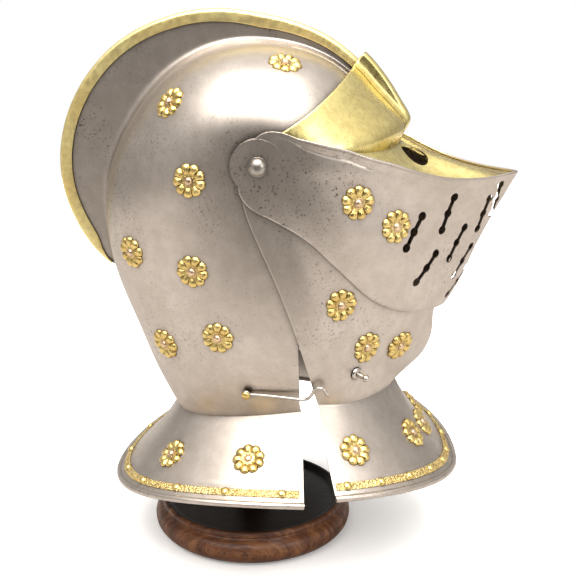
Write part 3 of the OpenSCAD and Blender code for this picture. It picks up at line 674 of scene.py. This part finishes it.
def make_comb_trim():
    """Brass strip folded over the comb: two walls and a round crown."""
    rows, round_cols = count(170), 13
    half_w, sheet, crown_h = 3.8, 0.7, 3.0
    a = np.linspace(32, 217, rows + 1)[:, None]
    top = curve(CREST, a)
    deep = np.minimum(8, (top - bowl_r(a)) * 0.4) * smooth(219, 206, a) + 1.8
    turns = np.radians(np.linspace(180, 0, round_cols))
    wall = [1, 0.66, 0.33]
    outline_y = np.concatenate([[-1] * 3, np.cos(turns), [1] * 3])
    drop = np.concatenate([wall, np.zeros(round_cols), wall[::-1]])
    rise = np.concatenate([[0] * 3, np.sin(turns), [0] * 3])

    def layer(t):
        depth = (crown_h - t) * (1 - rise) + t + (deep - crown_h) * drop
        wavy = 1 + 0.03 * np.sin(a * 0.9) * rise
        return np.swapaxes(polar(a, top - depth, (half_w - t) * outline_y * wavy), 0, 1)

    trim = link("comb_edging", mesh_of(*plate(layer(0.0), layer(sheet))), GOLD_TRIM, 50)
    piece(trim, "skull", "comb_trim")


# ---------------------------------------------------------------- bevor, ventail and visor
def make_bevor():
    rows, cols = count(64), count(72)

    def grid(t):
        f = np.arange(cols + 1)[None, :] / cols
        r_guess = INNER_R + f * 175
        low = -CHIN_REAR - 32 * np.exp(-(r_guess - 27) / 25)
        high = mix(-20, -36, f) - 12 * np.sin(np.pi * f)
        a = mix(low, high, np.arange(rows + 1)[:, None] / rows)
        edge = curve(CHIN, a) - t
        stop = np.where(a < -THROAT_A, line_r(a, *THROAT_LINE), FAR)
        r = mix(INNER_R, np.minimum(edge, stop), 1 - (1 - f) ** 1.25)
        y = np.maximum(0.3 * (f < 1), bevor_y(a, r, t))
        welded = (edge < stop)[:, -1]
        y[:, -1] = np.where(welded, 0, y[:, -1])
        return polar(a, r, -y), welded

    outer, welded = grid(0.0)
    bevor = link("bevor_plate", mirrored(*plate(outer, grid(SHEET)[0], welded)), STEEL)
    with_bosses(bevor, BEVOR_W, BOSS_R)
    piece(bevor, "bevor", "bevor")


# Middles of the breaths, as (distance from the pivot, angle)
BREATHS = [(170.5, -13), (173, -36), (164, -17), (166, -30.5), (153, -26),
           (136.5, -18), (141.5, -35), (118, -26)]
BREATH_L = 32.0
BREATH_HOLE, BREATH_SLOT = 3.5, 1.9      # radius of a breath's three holes, and half its slot's width
LINE_IN = 6.0                            # from the ventail's rim to its incised line


def seat_frame(x, n, p, side):
    """Frame matrix at p with Z along n and X along x, for the right side; -1 mirrors its place."""
    m = np.eye(4)
    m[:3] = np.stack([x, np.cross(n, x), n, p], -1) * np.array([[1], [side], [1]])
    return m


def square_to(surface, a, r, side=1):
    """Frame matrix square to a plate at (a, r): Z outwards, X the way the angle grows."""
    p = polar(a, r, -surface(a, r))
    along_r = polar(a, r + 0.5, -surface(a, r + 0.5)) - p
    along_a = polar(a + 0.3, r, -surface(a + 0.3, r)) - p
    n = np.cross(along_r, along_a)
    n *= -np.sign(n[1]) / np.linalg.norm(n)
    x = along_a - n * np.dot(along_a, n)
    return seat_frame(x / np.linalg.norm(x), n, p, side)


def breath_cutter():
    """Slot with a round hole at each end and in the middle, as one closed outline."""
    end = BREATH_L / 2 - BREATH_HOLE
    neck = math.degrees(math.asin(BREATH_SLOT / BREATH_HOLE))
    outline = arc(end, 0, BREATH_HOLE, -180 + neck, 180 - neck, 14)
    outline += arc(0, 0, BREATH_HOLE, neck, 180 - neck, 8)
    outline += arc(-end, 0, BREATH_HOLE, neck, 360 - neck, 14)
    outline += arc(0, 0, BREATH_HOLE, 180 + neck, 360 - neck, 8)
    n = len(outline)
    points = [(x, y, z) for z in (-5.0, 5.0) for x, y in outline]
    ends = [tuple(range(n))[::-1], tuple(range(n, 2 * n))]
    return np.array(points), ends + quads(2, n, round_rows=False)


def moved(points, matrix):
    m = np.array(matrix)
    return points @ m[:3, :3].T + m[:3, 3]


def make_ventail():
    rows, cols = count(54), count(96)

    def grid(t):
        f = np.arange(cols + 1)[None, :] / cols
        r_guess = INNER_R + f * 170
        low, high = curve(VENTAIL_LOW, r_guess), curve(VENTAIL_RIM, r_guess)
        i = np.arange(rows + 1)[:, None] / rows
        a = mix(low, high, 1 - (1 - i) ** 1.3)
        r = mix(INNER_R, curve(PROW, a) - t, f)
        gap = np.radians(high - a) * r
        line = 0.45 * np.exp(-((gap - LINE_IN) / 0.9) ** 2) * (t == 0) * smooth(22, 40, r)
        lip = 1.1 * np.exp(-(gap / 3.2) ** 2) * smooth(22, 45, r) * smooth(1.0, 0.97, f)
        y = ventail_y(a, r, t) - line + lip
        y = np.where(f < 1, np.maximum(0.3, y), 0)
        return polar(a, r, -y)

    bead = mix(SHEET / 2 + 0.01, 1.15, smooth(22, 45, INNER_R + np.arange(cols + 1) / cols * 170))
    points, faces = plate(grid(0.0), grid(SHEET), np.ones(rows + 1, bool), bead=bead)
    ventail = link("ventail_plate", mirrored(points, faces), STEEL)
    with_bosses(ventail, VENTAIL_W, BOSS_R)
    points, faces = breath_cutter()
    for r, a in BREATHS:
        for side in (1, -1):
            placed = moved(points * [1, side, 1], square_to(ventail_y, a, r, side))
            boolean(ventail, link("breath", mesh_of(placed, faces)), "DIFFERENCE")
    shade(ventail.data)
    piece(ventail, "ventail", "ventail")


RIDGE_W = 5.6
BROW_FOOT = [(56, 13.5), (70, 7.8), (83, 4.6), (94, 1.4)]      # where the brow turns out into the flange
FLANGE_END = 173.0
SIGHT_X, SIGHT_Y = 123.6, 13.0        # middle of each sight
SIGHT_HALF = (10.3, 10.5)             # its half length and half width


def flange(s, q):
    """Point on the flange below the brow: s runs from side to middle, q from the brow outwards."""
    turn = np.radians(mix(31, 90, s))
    r = FLAT_R + (94 - FLAT_R) * np.sin(turn) - 0.6
    foot = polar(curve(BROW_FOOT, r), r, -(VISOR_W - 0.6) * np.cos(turn))
    reach = mix(60, FLANGE_END, s)
    rim = curve(VENTAIL_RIM, reach) - 0.9
    edge = polar(rim, reach, -np.maximum(ventail_y(rim, reach, SHEET) - 0.6, 0))
    fall_off = (1 - q) ** mix(2.5, 1.15, smooth(0.72, 1.0, s))
    flat = mix(foot, edge, q[..., None])
    flat[..., 2] = mix(edge[..., 2], foot[..., 2], fall_off)
    return flat


def flange_layer(t, rows, cols):
    """Points of the right half of the flange, t below its top face."""
    s, q = np.meshgrid(np.linspace(0, 1, cols + 1), np.linspace(0, 1, rows + 1))
    step = 1e-3
    side, ahead = np.clip(s - step, 0, 1), np.clip(q - step, 0, 1)
    along_s = flange(side + step, q) - flange(side, q)
    along_q = flange(s, ahead + step) - flange(s, ahead)
    n = np.cross(along_s, along_q)
    n *= np.sign(n[..., 2:])
    n /= np.linalg.norm(n, axis=-1, keepdims=True)
    n[:, -1, 1] = 0
    p = flange(s, q) - t * n
    p[:, -1, 1] = 0
    return p


def make_visor():
    rows, cols, ridge_cols = count(44), count(60), count(14)
    hub, turned = 0.06, 85        # share of the columns in the flat zone, and arc of the others

    def grid(t):
        total = cols + ridge_cols
        k = np.arange(total + 1)[None, :]
        f = k / total
        r_guess = INNER_R + f * 94
        high = 42 + 3 * f + 40 * np.exp(-(r_guess - 10) / 10)
        low = curve(VISOR_LOW, r_guess)
        i = np.arange(rows + 1)[:, None] / rows
        a = mix(low, high, i)
        edge = curve(BROW, a) - t
        soft = mix(FLAT_R, edge, (1 - ((RIDGE_W + 2.2) / VISOR_W) ** 2) ** 0.5)
        top = curve(RIDGE, a) - t
        q = np.clip(k / cols, 0, 1)
        swing = np.sin(np.radians(turned) * np.clip((q - hub) / (1 - hub), 0, 1))
        swing /= math.sin(math.radians(turned))
        r_bowl = np.where(q < hub, mix(INNER_R, FLAT_R, q / hub), mix(FLAT_R, soft, swing))
        w = np.clip((k - cols) / ridge_cols, 0, 1)
        r = np.where(k <= cols, r_bowl, mix(soft, top, w))
        wall = (RIDGE_W - t) + 5 * np.exp(-np.maximum(0, r - edge) / 1.5)
        cap = np.sqrt(np.maximum(0, 1 - np.clip((r - top + 3.0) / 3.0, 0, 1) ** 2))
        y = np.maximum(visor_y(a, r, t), np.where(k > cols, wall * cap, wall))
        y = np.where(k == total, 0, np.maximum(y, 0.3))
        return polar(a, r, -y)

    visor = link("visor_plate", mirrored(*plate(grid(0.0), grid(SHEET), np.ones(rows + 1, bool))), GOLD)
    with_bosses(visor, VISOR_W, BOSS_R - 2)
    steps = count(40), count(60)
    shelf = plate(flange_layer(0.0, *steps), flange_layer(SHEET, *steps), np.ones(steps[0] + 1, bool))
    boolean(visor, link("flange", mirrored(*shelf)), "UNION")
    under, over = 296, 323        # heights that a sight's cut starts and ends at
    points, faces = lathe([(0, under), (1, under), (1, over), (0, over)], count(56))
    for side in (-1, 1):
        hole = points * [*SIGHT_HALF, 1] + [SIGHT_X, side * SIGHT_Y, 0]
        boolean(visor, link("sight", mesh_of(hole, faces)), "DIFFERENCE")
    shade(visor.data)
    piece(visor, "visor", "visor")


# ---------------------------------------------------------------- collar halves
COLLAR_END = 72.0


def rim_z(p, front):
    """Height of the rim, p degrees round from the front: it rises over the shoulders."""
    s = np.abs(np.sin(np.radians(p)))
    return 54 + 30 * s ** 1.4 if front else 55 + 27 * s ** 2


def opened(p):
    """Points turned about the pivots, as the front half stands open at rest."""
    x, z = p[..., 0] - PIVOT_X, p[..., 2] - PIVOT_Z
    c, s = math.cos(math.radians(REST_OPEN)), math.sin(math.radians(REST_OPEN))
    return np.stack([PIVOT_X + x * c - z * s, p[..., 1], PIVOT_Z + x * s + z * c], -1)


def collar(u, v, front, t=0.0):
    """Point on a collar half: u runs round it, -1 right to 1 left, and v from the neck to the rim."""
    u, v = np.broadcast_arrays(np.asarray(u, float), np.asarray(v, float))
    span = np.abs(u)
    if front:
        a = -THROAT_A - (CHIN_REAR - THROAT_A) * u * u
        r = line_r(a, *THROAT_LINE)
        y = bevor_y(a, r)
        turn = COLLAR_END * span
    else:
        a = NAPE_A + (NECK_A - NAPE_A) * u * u
        r = line_r(a, *NECK_LINE)
        y = skull_y(a, r)
        turn = 180 - (180 - COLLAR_END) * span
    top = polar(a, r, -np.sign(u) * np.maximum(y, 30 * span)) - [0, 0, 0.4]
    q = np.radians(turn)
    rim = np.stack([RIM_X + RIM_A * np.cos(q), -np.sign(u) * RIM_B * np.sin(q), rim_z(turn, front)], -1)
    if front:
        rim = opened(rim)
    middle = mix(top, rim, np.array([0.42, 0.42, 0.62]))
    v = v[..., None]
    p = (1 - v) ** 2 * top + 2 * v * (1 - v) * middle + v ** 2 * rim
    centre = np.zeros_like(p)
    centre[..., 0] = 40 if front else -5
    centre[..., 2] = p[..., 2]
    d = p - centre
    d /= np.linalg.norm(d, axis=-1, keepdims=True)
    d = d + np.array([0, 0, 0.9]) * v
    d /= np.linalg.norm(d, axis=-1, keepdims=True)
    return p - t * d


ROLL_R = 2.4         # rolled rim
BAND = (0.86, 0.94)  # the brass band's edges, from the neck (0) to the rim (1)
# Lap that closes the collar's top from inside the plate above: rise, place down the collar, depth
LAP = ((3.4, 0.0, 2.0), (1.6, 0.0, 1.9), (0.3, 0.0, 1.75), (0.0, 0.0, 1.1), (0.0, 0.03, 0.9),
       (0.0, 0.06, 0.9))


def make_collar(name, body, front):
    v = np.linspace(0, 1, count(40) + 1)[:, None]
    u = np.linspace(-1, 1, count(150) + 1)[None, :]
    line_at, line_deep = 0.81, 0.45

    def layer(t):
        groove = line_deep * np.exp(-((v - line_at) / 0.012) ** 2) * (t == 0)
        face = collar(u, v, front)
        return face + (collar(u, v, front, 1.0) - face) * (t + groove)[..., None]

    def lap(t):
        return np.stack([collar(0.99 * u[0], at, front, depth + t) + [0, 0, rise]
                         for rise, at, depth in LAP])

    obj = link(name + "_plate", mesh_of(*plate(layer(0.0), layer(SHEET), bead=ROLL_R)), STEEL)
    boolean(obj, link("lap", mesh_of(*plate(lap(0), lap(0.8)))), "UNION")
    shade(obj.data, 40)
    piece(obj, body, name)


def make_band(name, body, front):
    """Embossed strip round the collar: two ribs, and fine knobs between them."""
    rows, cols = count(14), count(520)
    rng = np.random.default_rng(7 if front else 11)
    v = mix(BAND[0], BAND[1], np.arange(rows + 1) / rows)[:, None]
    u = np.linspace(-0.985, 0.985, cols + 1)[None, :]
    i = np.arange(rows + 1)[:, None]
    inside = (i > 1) & (i < rows - 1)
    ribs = 0.30 * np.exp(-((i - 1.2) / 0.7) ** 2) + 0.30 * np.exp(-((i - rows + 1.2) / 0.7) ** 2)
    knobs = rng.uniform(-0.02, 0.34, (rows + 1, cols + 1)) * inside
    base = collar(u, v, front)
    out = base - collar(u, v, front, 1.0)
    outer = base + out * (0.55 + ribs + knobs)[..., None]
    band = link(name + "_strip", mesh_of(*plate(outer, base + out * 0.05)), PEBBLED, 60)
    piece(band, body, name)


# ---------------------------------------------------------------- ornaments
def rosette():
    """Petalled boss, flat underneath, as a polar grid of heights."""
    rings, turns = count(22), PETALS * count(14)
    rho = np.concatenate([[0.0], np.linspace(0.06, 1.0, rings)])
    q = np.arange(turns) * 2 * math.pi / turns
    lobe = np.abs(np.cos(q * PETALS / 2))
    reach = ROSETTE_R * (0.84 + 0.16 * lobe ** 0.55)
    rings_of_points = []
    for s in rho[1:]:
        petal = smooth(0.30, 0.42, s) * np.maximum(0, 1 - ((s - 0.70) / 0.33) ** 2)
        height = 0.75 + 1.95 * petal * (0.25 + 0.75 * lobe ** 0.8)
        height += 0.55 * math.exp(-((s - 0.33) / 0.05) ** 2)
        height -= 0.35 * np.exp(-((lobe - 1) / 0.02) ** 2) * smooth(0.5, 0.6, s) * smooth(0.9, 0.75, s)
        height = height * smooth(1.04, 0.93, s)
        rings_of_points.append(np.stack([s * reach * np.cos(q), s * reach * np.sin(q), height], -1))
    rings_of_points.append(np.stack([reach * np.cos(q), reach * np.sin(q), np.full(turns, -0.05)], -1))
    n = len(rings_of_points)
    grid = np.concatenate(rings_of_points + [np.array([[0, 0, 0.75], [0, 0, -0.05]])])
    top, under, last = n * turns, n * turns + 1, (n - 1) * turns
    faces = quads(n, turns, round_rows=False)
    for j in range(turns):
        k = (j + 1) % turns
        faces += [(top, j, k), (under, last + k, last + j)]
    return grid, faces


def dome(radius, height, foot, lift):
    """Domed rivet head on a low foot ring."""
    edge = radius + foot
    profile = [(0, lift), (edge, lift), (edge, lift + 0.35), (radius + 0.1, lift + 0.45)]
    return lathe(profile + crown(radius, height, lift + 0.4, (8, 22, 38, 54, 70, 82)), 28)


def wrapped(points, sample, reach):
    """Points of a flat ornament, put on its seat and bent to the plate under it. sample gives the
    seat's frame and points of the plate within reach."""
    seat, near = sample(reach)

    def terms(p):
        x, y = p[:, 0], p[:, 1]
        return np.stack([np.ones_like(x), x, y, x * x, x * y, y * y], -1)

    local = moved(near, np.linalg.inv(seat))
    shape = np.linalg.lstsq(terms(local), local[:, 2], rcond=None)[0]
    bent = points.copy()
    bent[:, 2] += terms(points) @ shape
    return moved(bent, seat)


def plate_sample(surface, a, r, side):
    """Function that gives a seat's frame at (a, r) on a plate, and points of the plate round it."""
    def sample(reach):
        steps = np.linspace(-reach, reach, 7)
        da, dr = np.meshgrid(np.degrees(steps / r), steps)
        near = polar(a + da, r + dr, -surface(a + da, r + dr)).reshape(-1, 3)
        return square_to(surface, a, r, side), near * [1, side, 1]
    return sample


def collar_sample(u, v, front, side):
    """The same for a place on a collar half."""
    def sample(reach):
        p = collar(u, v, front)
        du, dv = 0.01, 0.02
        along_u = collar(u + du, v, front) - collar(u - du, v, front)
        along_v = collar(u, v + dv, front) - collar(u, v - dv, front)
        n = np.cross(along_u, along_v)
        n *= np.sign(np.dot(n, p - collar(u, v, front, 1.0))) / np.linalg.norm(n)
        length_u, length_v = np.linalg.norm(along_u), np.linalg.norm(along_v)
        steps = np.linspace(-reach, reach, 7)
        su, sv = np.meshgrid(steps * 2 * du / length_u, steps * 2 * dv / length_v)
        near = collar(u + su, v + sv, front).reshape(-1, 3) * [1, side, 1]
        return seat_frame(along_u / length_u, n, p, side), near
    return sample


# Places of the rosettes: (angle, distance) from the pivot, and on the collar (u, v)
SKULL_SPOTS = [(150, 76), (78, 66), (194, 50), (216, 120), (238, 92), (256, 132), (242, 160)]
BEVOR_SPOTS = [(-61, 116), (-62, 158), (-56, 176)]
VENTAIL_SPOTS = [(-21, 72), (-26, 104)]
REAR_SPOTS = [(0.42, 0.5), (0.8, 0.5)]
FRONT_SPOTS = [(0.82, 0.5), (0.3, 0.5)]


def make_rosettes(name, body, samples):
    """Rosettes at the samples' seats, each turned a little further, and the rivets that hold them."""
    flower, flower_faces = rosette()
    head, head_faces = dome(2.9, 1.9, 0.7, 0.9)
    flowers, heads = [], []
    for k, sample in enumerate(samples):
        spin = Matrix.Rotation(0.35 + 0.7 * k, 3, "Z")
        flowers.append((wrapped(flower @ np.array(spin).T, sample, ROSETTE_R), flower_faces))
        heads.append((moved(head, sample(ROSETTE_R)[0]), head_faces))
    flowers = link(name + "_flowers", mesh_of(*joined(flowers)), OLD, 60)
    heads = link(name + "_studs", mesh_of(*joined(heads)), COPPER, 40)
    piece(flowers, body, name)
    piece(heads, body, name[:-1] + "_rivets")


def make_ornaments():
    plates = (("skull", skull_y, SKULL_SPOTS), ("bevor", bevor_y, BEVOR_SPOTS),
              ("ventail", ventail_y, VENTAIL_SPOTS))
    for body, surface, spots in plates:
        make_rosettes(body + "_rosettes", body,
                      [plate_sample(surface, *spot, side) for spot in spots for side in (1, -1)])
    collars = (("rear", "skull", False, REAR_SPOTS), ("front", "bevor", True, FRONT_SPOTS))
    for end, body, front, spots in collars:
        samples = [collar_sample(*spot, front, side) for spot in spots for side in (1, -1)]
        if front:
            samples.append(collar_sample(0.0, 0.5, True, 1))
        make_rosettes(end + "_gorget_rosettes", body, samples)


def make_band_rivets(name, body, front):
    studs, end = 11, 0.93
    head, faces = dome(3.0, 1.8, 0.3, 0.55)
    seats = [collar_sample(u, sum(BAND) / 2, front, 1)(3.0)[0] for u in np.linspace(-end, end, studs)]
    heads = mesh_of(*joined([(moved(head, seat), faces) for seat in seats]))
    piece(link(name + "_heads", heads, OLD, 40), body, name)


def make_pivots():
    seat = VENTAIL_W + 0.3
    profile = [(0, -13), (4.4, -13), (4.4, -0.1), (6.9, 0), (7.0, 0.3), (6.8, 0.6), (6.2, 0.7), (5.9, 0.8)]
    points, faces = lathe(profile + crown(5.8, 3.8, 0.9, (4, 14, 26, 38, 50, 62, 74, 84)), 64)
    for side, name in ((1, "pivot_rivet_right"), (-1, "pivot_rivet_left")):
        placed = np.stack([PIVOT_X + points[:, 0], -side * (seat + points[:, 2]),
                           PIVOT_Z + points[:, 1]], -1)
        piece(link(name + "_head", mesh_of(placed, faces), RIVET, 40), "skull", name)


# ---------------------------------------------------------------- hook and peg
def along(a, b):
    """Matrix at a with Z along b and X as near +X as it goes."""
    z = b.normalized()
    x = (Vector((1, 0, 0)) - z * z.x).normalized()
    y = z.cross(x)
    m = Matrix((x, y, z)).transposed().to_4x4()
    m.translation = a
    return m


def spline(points, steps):
    """Smooth path through points."""
    pts = [Vector(p) for p in points]
    pts = [pts[0] * 2 - pts[1]] + pts + [pts[-1] * 2 - pts[-2]]
    out = []
    for i in range(1, len(pts) - 2):
        a, b, c, d = pts[i - 1:i + 3]
        for k in range(steps):
            t = k / steps
            out.append(0.5 * (2 * b + (c - a) * t + (2 * a - 5 * b + 4 * c - d) * t * t
                              + (3 * b - a - 3 * c + d) * t ** 3))
    return np.array([list(p) for p in out + [pts[-2]]])


# The wire from its eye to its tip: (along the hook at rest, across it)
HOOK_PATH = [(2.2, 0), (12, 0.4), (28, 0.2), (41, 0), (46, 1.5), (49, 6), (51, 10.5), (55, 12),
             (58.5, 10), (60, 6)]


def make_hook():
    seat = along(HOOK_AT, HOOK_AXIS)
    lift = 3.2
    wire = tube(spline([(x, y, lift) for x, y in HOOK_PATH], 8), 1.15, 14)
    eye = [(1.6, lift - 1.0)] + arc(2.3, lift, 1.05, -110, 110, 10) + [(1.6, lift + 1.0)]
    points, faces = joined([wire, ring_mesh(eye, 40)])
    hook = link("latch_hook_wire", mesh_of(moved(points, seat), faces), BRIGHT, 40)
    piece(hook, "hook", "latch_hook")
    profile = [(0, 0.1), (1.5, 0.1), (1.5, lift + 1.5), (3.0, lift + 1.5), (3.3, lift + 1.8)]
    points, faces = lathe(profile + crown(3.2, 1.9, lift + 1.9, (6, 20, 36, 52, 68, 82)), 36)
    piece(link("hook_rivet_head", mesh_of(moved(points, seat), faces), OLD, 40),
          "skull", "hook_rivet")


def make_peg():
    seat = square_to(bevor_y, -67, 172)
    ring = [(2.05, 0.2), (4.6, 0.2), (4.9, 0.6), (4.7, 1.3), (4.0, 1.9), (2.6, 2.3), (2.05, 2.3)]
    points, faces = ring_mesh(ring, 40)
    piece(link("latch_collar_ring", mesh_of(moved(points, seat), faces), BRIGHT, 40),
          "bevor", "latch_collar")
    profile = [(0, 0.15), (2, 0.15), (2, 6.5), (1.6, 7.4), (1.7, 8.0)]
    points, faces = lathe(profile + crown(2.7, 2.7, 10, (-50, -30, -10, 10, 30, 50, 70, 82)), 36)
    piece(link("latch_peg_pin", mesh_of(moved(points, seat), faces), BRIGHT, 40),
          "bevor", "latch_peg")


# ---------------------------------------------------------------- stand and lining
def make_stand():
    r, h = STAND_R, STAND_H
    profile = [(0, 1.6), (r - 10.5, 1.6)]
    profile += arc(r - 11, h * 0.44, 10.7, -82, 62, 20)
    profile += arc(r - 9.2, h - 3.1, 3.1, -38, 118, 14)
    profile += [(r - 11.6, h - 1.6), (r - 12.6, h - 3.4), (r - 14, h - 4.3), (r - 16, h - 4.4),
                (30, h - 4.4), (0, h - 4.4)]
    points, faces = lathe(profile, count(160))
    piece(link("stand_base_turned", mesh_of(points, faces), WOOD, 40), "stand", "stand_base")


def make_felts():
    """Felt under the foot and over the head block, with soft rounded rims."""
    r, thick, edge = STAND_R - 11, 1.5, 0.7
    profile = [(6.2, 0.3), (6.5, 0)] + arc(r - edge, edge, edge, -90, 0, 5)
    profile += arc(r - edge, thick - edge, edge, 0, 90, 5) + [(6.5, thick), (6.2, thick - 0.3)]
    foot = mesh_of(*ring_mesh(profile, count(128)))
    piece(link("stand_foot_felt", foot, FELT, 50), "stand", "stand_felt")
    outside, inside, middle = 60, 58.06, [8, 0, 328.1]      # radii of the cap and their middle
    rim = math.degrees(math.acos(29.6 / outside))
    profile = [(0, inside)] + arc(0, 0, inside, 89, rim + 1.2, 24)
    profile += [(29.3, 51.0), (29.9, 51.3)] + arc(0, 0, outside, rim, 89, 24) + [(0, outside)]
    cap, faces = lathe(profile, count(96))
    piece(link("stand_head_felt", mesh_of(cap + middle, faces), FELT, 50), "stand", "stand_pad")


def make_lining():
    """Leather band inside the skull, closed round the head, bulging and lightly gathered."""
    cols, thick = count(120), 2.0
    q = np.linspace(0, 2 * math.pi, cols, endpoint=False)
    low, high = (9.5, 70, 78, 358), (10.5, 47, 58, 376)      # middle, half length, half width, height
    rings = []
    section = [(s, 0.0) for s in np.linspace(0, 1, 10)] + [(s, thick) for s in np.linspace(1, 0, 10)]
    for s, t in section:
        cx, half_x, half_y, z = [mix(a, b, s) for a, b in zip(low, high)]
        out = (1.2 + 0.35 * np.sin(q * 23)) * math.sin(math.pi * s) - t
        rings.append(np.stack([cx + (half_x + out) * np.cos(q), (half_y + out) * np.sin(q),
                               np.full(cols, z)], -1))
    band = mesh_of(np.concatenate(rings), quads(len(rings), cols))
    piece(link("lining_band_leather", band, LEATHER, 50), "skull", "lining_band")


def dress_cad_nodes():
    """Materials for the CAD nodes that stay as they are."""
    finish = {"stand_post": POST_WOOD, "stand_head": POST_WOOD,
              "stand_screw": DARK, "pivot_washers": OLD, "pivot_nuts": DARK, "lining_rivets": OLD}
    for name, material in finish.items():
        node = frame["nodes"][name]
        node.data.materials.clear()
        node.data.materials.append(material)


# ---------------------------------------------------------------- floor, light and camera
FLOOR_RADII = (150, 300, 600, 1000, 1500)
DARK_FLOOR = (0.0, -1.15, 0.0)      # middle of the part of the floor that the metal sees dark


def make_floor():
    """Round sheet of pale paper that fades into the white background through painted light: a glow that
    only the camera sees.
    """
    sides = 96
    turn = np.linspace(0, 2 * math.pi, sides, endpoint=False)
    points = [(0, 0, 0)] + [(r * math.cos(q), r * math.sin(q), 0) for r in FLOOR_RADII for q in turn]
    faces = [(0, 1 + j, 1 + (j + 1) % sides) for j in range(sides)]
    faces += quads(len(FLOOR_RADII), sides, round_rows=False, first=1)
    mesh = bpy.data.meshes.new("floor")
    mesh.from_pydata((np.array(points) * MM).tolist(), [], faces)
    p = Paint("floor_paper", 0.0, 0.9)
    seen = p.to_camera()
    paper = p.ramp(p.noise(3, 3), [(0.3, (0.91, 0.91, 0.905)), (0.7, (0.93, 0.93, 0.925))])
    from_dark = p.measure("DISTANCE", p.place, DARK_FLOOR)
    mirrored_paper = p.ramp(from_dark, [(0.30, (0.05, 0.046, 0.042)), (0.82, (0.47, 0.45, 0.43))])
    # Painted light: the camera sees the floor glow, faintly by the stand and fully further out.
    glow = p.ramp(p.measure("LENGTH", p.place), [(0.06, 0.16), (0.40, 1.0)])
    p.wire(p.calc("MULTIPLY", glow, seen), p.body.inputs["Emission Strength"])
    p.body.inputs["Emission Color"].default_value = (1, 1, 1, 1)
    link("floor", mesh, p.finish(p.blend(seen, mirrored_paper, paper)))


# Lamps: name, place, what they aim at, size, power and colour
LAMPS = (("softbox_top", (0.1, -0.3, 1.9), (0.02, 0, 0.3), 1.6, 24, (1, 1, 1)),
         ("softbox_front", (1.5, -1.2, 0.9), (0.05, 0, 0.25), 0.7, 6, (1, 0.98, 0.95)))


def make_lamps():
    for name, place, aim, size, power, colour in LAMPS:
        light = bpy.data.lights.new(name, "AREA")
        light.shape = "SQUARE"
        light.size = size
        light.energy = power
        light.color = colour
        lamp = bpy.data.objects.new(name, light)
        bpy.context.scene.collection.objects.link(lamp)
        lamp.location = place
        lamp.rotation_euler = (Vector(aim) - Vector(place)).to_track_quat("-Z", "Y").to_euler()


# The studio as the metal sees it: (height of the direction, brightness); -1 is down and 1 is up
STUDIO = [(-1.0, 0.40), (-0.42, 0.36), (-0.10, 0.38), (0.10, 0.42), (0.30, 0.48), (0.50, 0.66),
          (0.68, 0.95), (0.85, 1.15), (1.0, 1.15)]
STUDIO_TINT = (1.0, 0.955, 0.91)
STUDIO_TOP = 4.0     # brightness that a colour of 1 stands for
# Brighter and darker parts of the studio: direction, cosine where it starts and where it is full, change
SOFTBOX = ((-0.12, -0.50, 0.86), 0.80, 0.91, 3.7)
WINDOW = ((0.88, -0.38, 0.28), 0.70, 0.93, 0.30)
ROOM = ((0.05, -0.99, 0.02), 0.72, 0.93, 0.28)      # the dark room behind the camera


def make_world():
    """White to the camera; to everything else, a studio with a dark middle and a bright ceiling."""
    world = bpy.data.worlds.new("studio")
    bpy.context.scene.world = world
    world.use_nodes = True
    p = Wiring(world.node_tree)
    coords = p.add("TexCoord").outputs["Generated"]
    height = p.calc("ADD", p.calc("MULTIPLY", p.parts(coords)["Z"], 0.5), 0.5)
    level = p.ramp(height, [(0.5 + 0.5 * z, v / STUDIO_TOP) for z, v in STUDIO])

    def towards(direction, start, full, low, high):
        cosine = p.measure("DOT_PRODUCT", coords, Vector(direction).normalized())
        return p.ramp(cosine, [(start, low), (full, high)])

    total = p.blend(1.0, level, towards(*ROOM[:3], 1.0, ROOM[3]), "MULTIPLY")
    for *place, gain in (WINDOW, SOFTBOX):
        total = p.blend(1.0, total, towards(*place, 0.0, gain / STUDIO_TOP), "ADD")
    studio = p.nodes["Background"]
    p.wire(p.blend(1.0, total, STUDIO_TINT, "MULTIPLY"), studio.inputs["Color"])
    studio.inputs["Strength"].default_value = STUDIO_TOP
    white = p.add("Background", Color=(1, 1, 1, 1))
    mixed = p.add("MixShader")
    for value, socket in zip((p.to_camera(), studio.outputs[0], white.outputs[0]), mixed.inputs):
        p.wire(value, socket)
    p.wire(mixed.outputs[0], p.nodes["World Output"].inputs["Surface"])
    bpy.context.scene.view_settings.view_transform = "Standard"


CAMERA_AZ, CAMERA_EL = 6.0, 16.9        # degrees in front of the right side, and above the horizon
CAMERA_DISTANCE = 0.897
CAMERA_TARGET = (0.0292, 0.0, 0.203)
CAMERA_LENS = 71.9


def make_camera():
    data = bpy.data.cameras.new("camera")
    data.lens = CAMERA_LENS
    data.sensor_width = 36
    camera = bpy.data.objects.new("camera", data)
    bpy.context.scene.collection.objects.link(camera)
    az, el = math.radians(CAMERA_AZ), math.radians(CAMERA_EL)
    back = Vector((math.sin(az) * math.cos(el), -math.cos(az) * math.cos(el), math.sin(el)))
    camera.location = Vector(CAMERA_TARGET) + back * CAMERA_DISTANCE
    camera.rotation_euler = back.to_track_quat("Z", "Y").to_euler()
    bpy.context.scene.camera = camera


make_skull()
make_comb_trim()
make_bevor()
make_ventail()
make_visor()
for end, body, front in (("rear", "skull", False), ("front", "bevor", True)):
    make_collar(end + "_gorget", body, front)
    make_band(end + "_gorget_band", body, front)
    make_band_rivets(end + "_band_rivets", body, front)
make_ornaments()
make_pivots()
make_hook()
make_peg()
make_stand()
make_felts()
make_lining()
dress_cad_nodes()
make_floor()
make_world()
make_lamps()
make_camera()
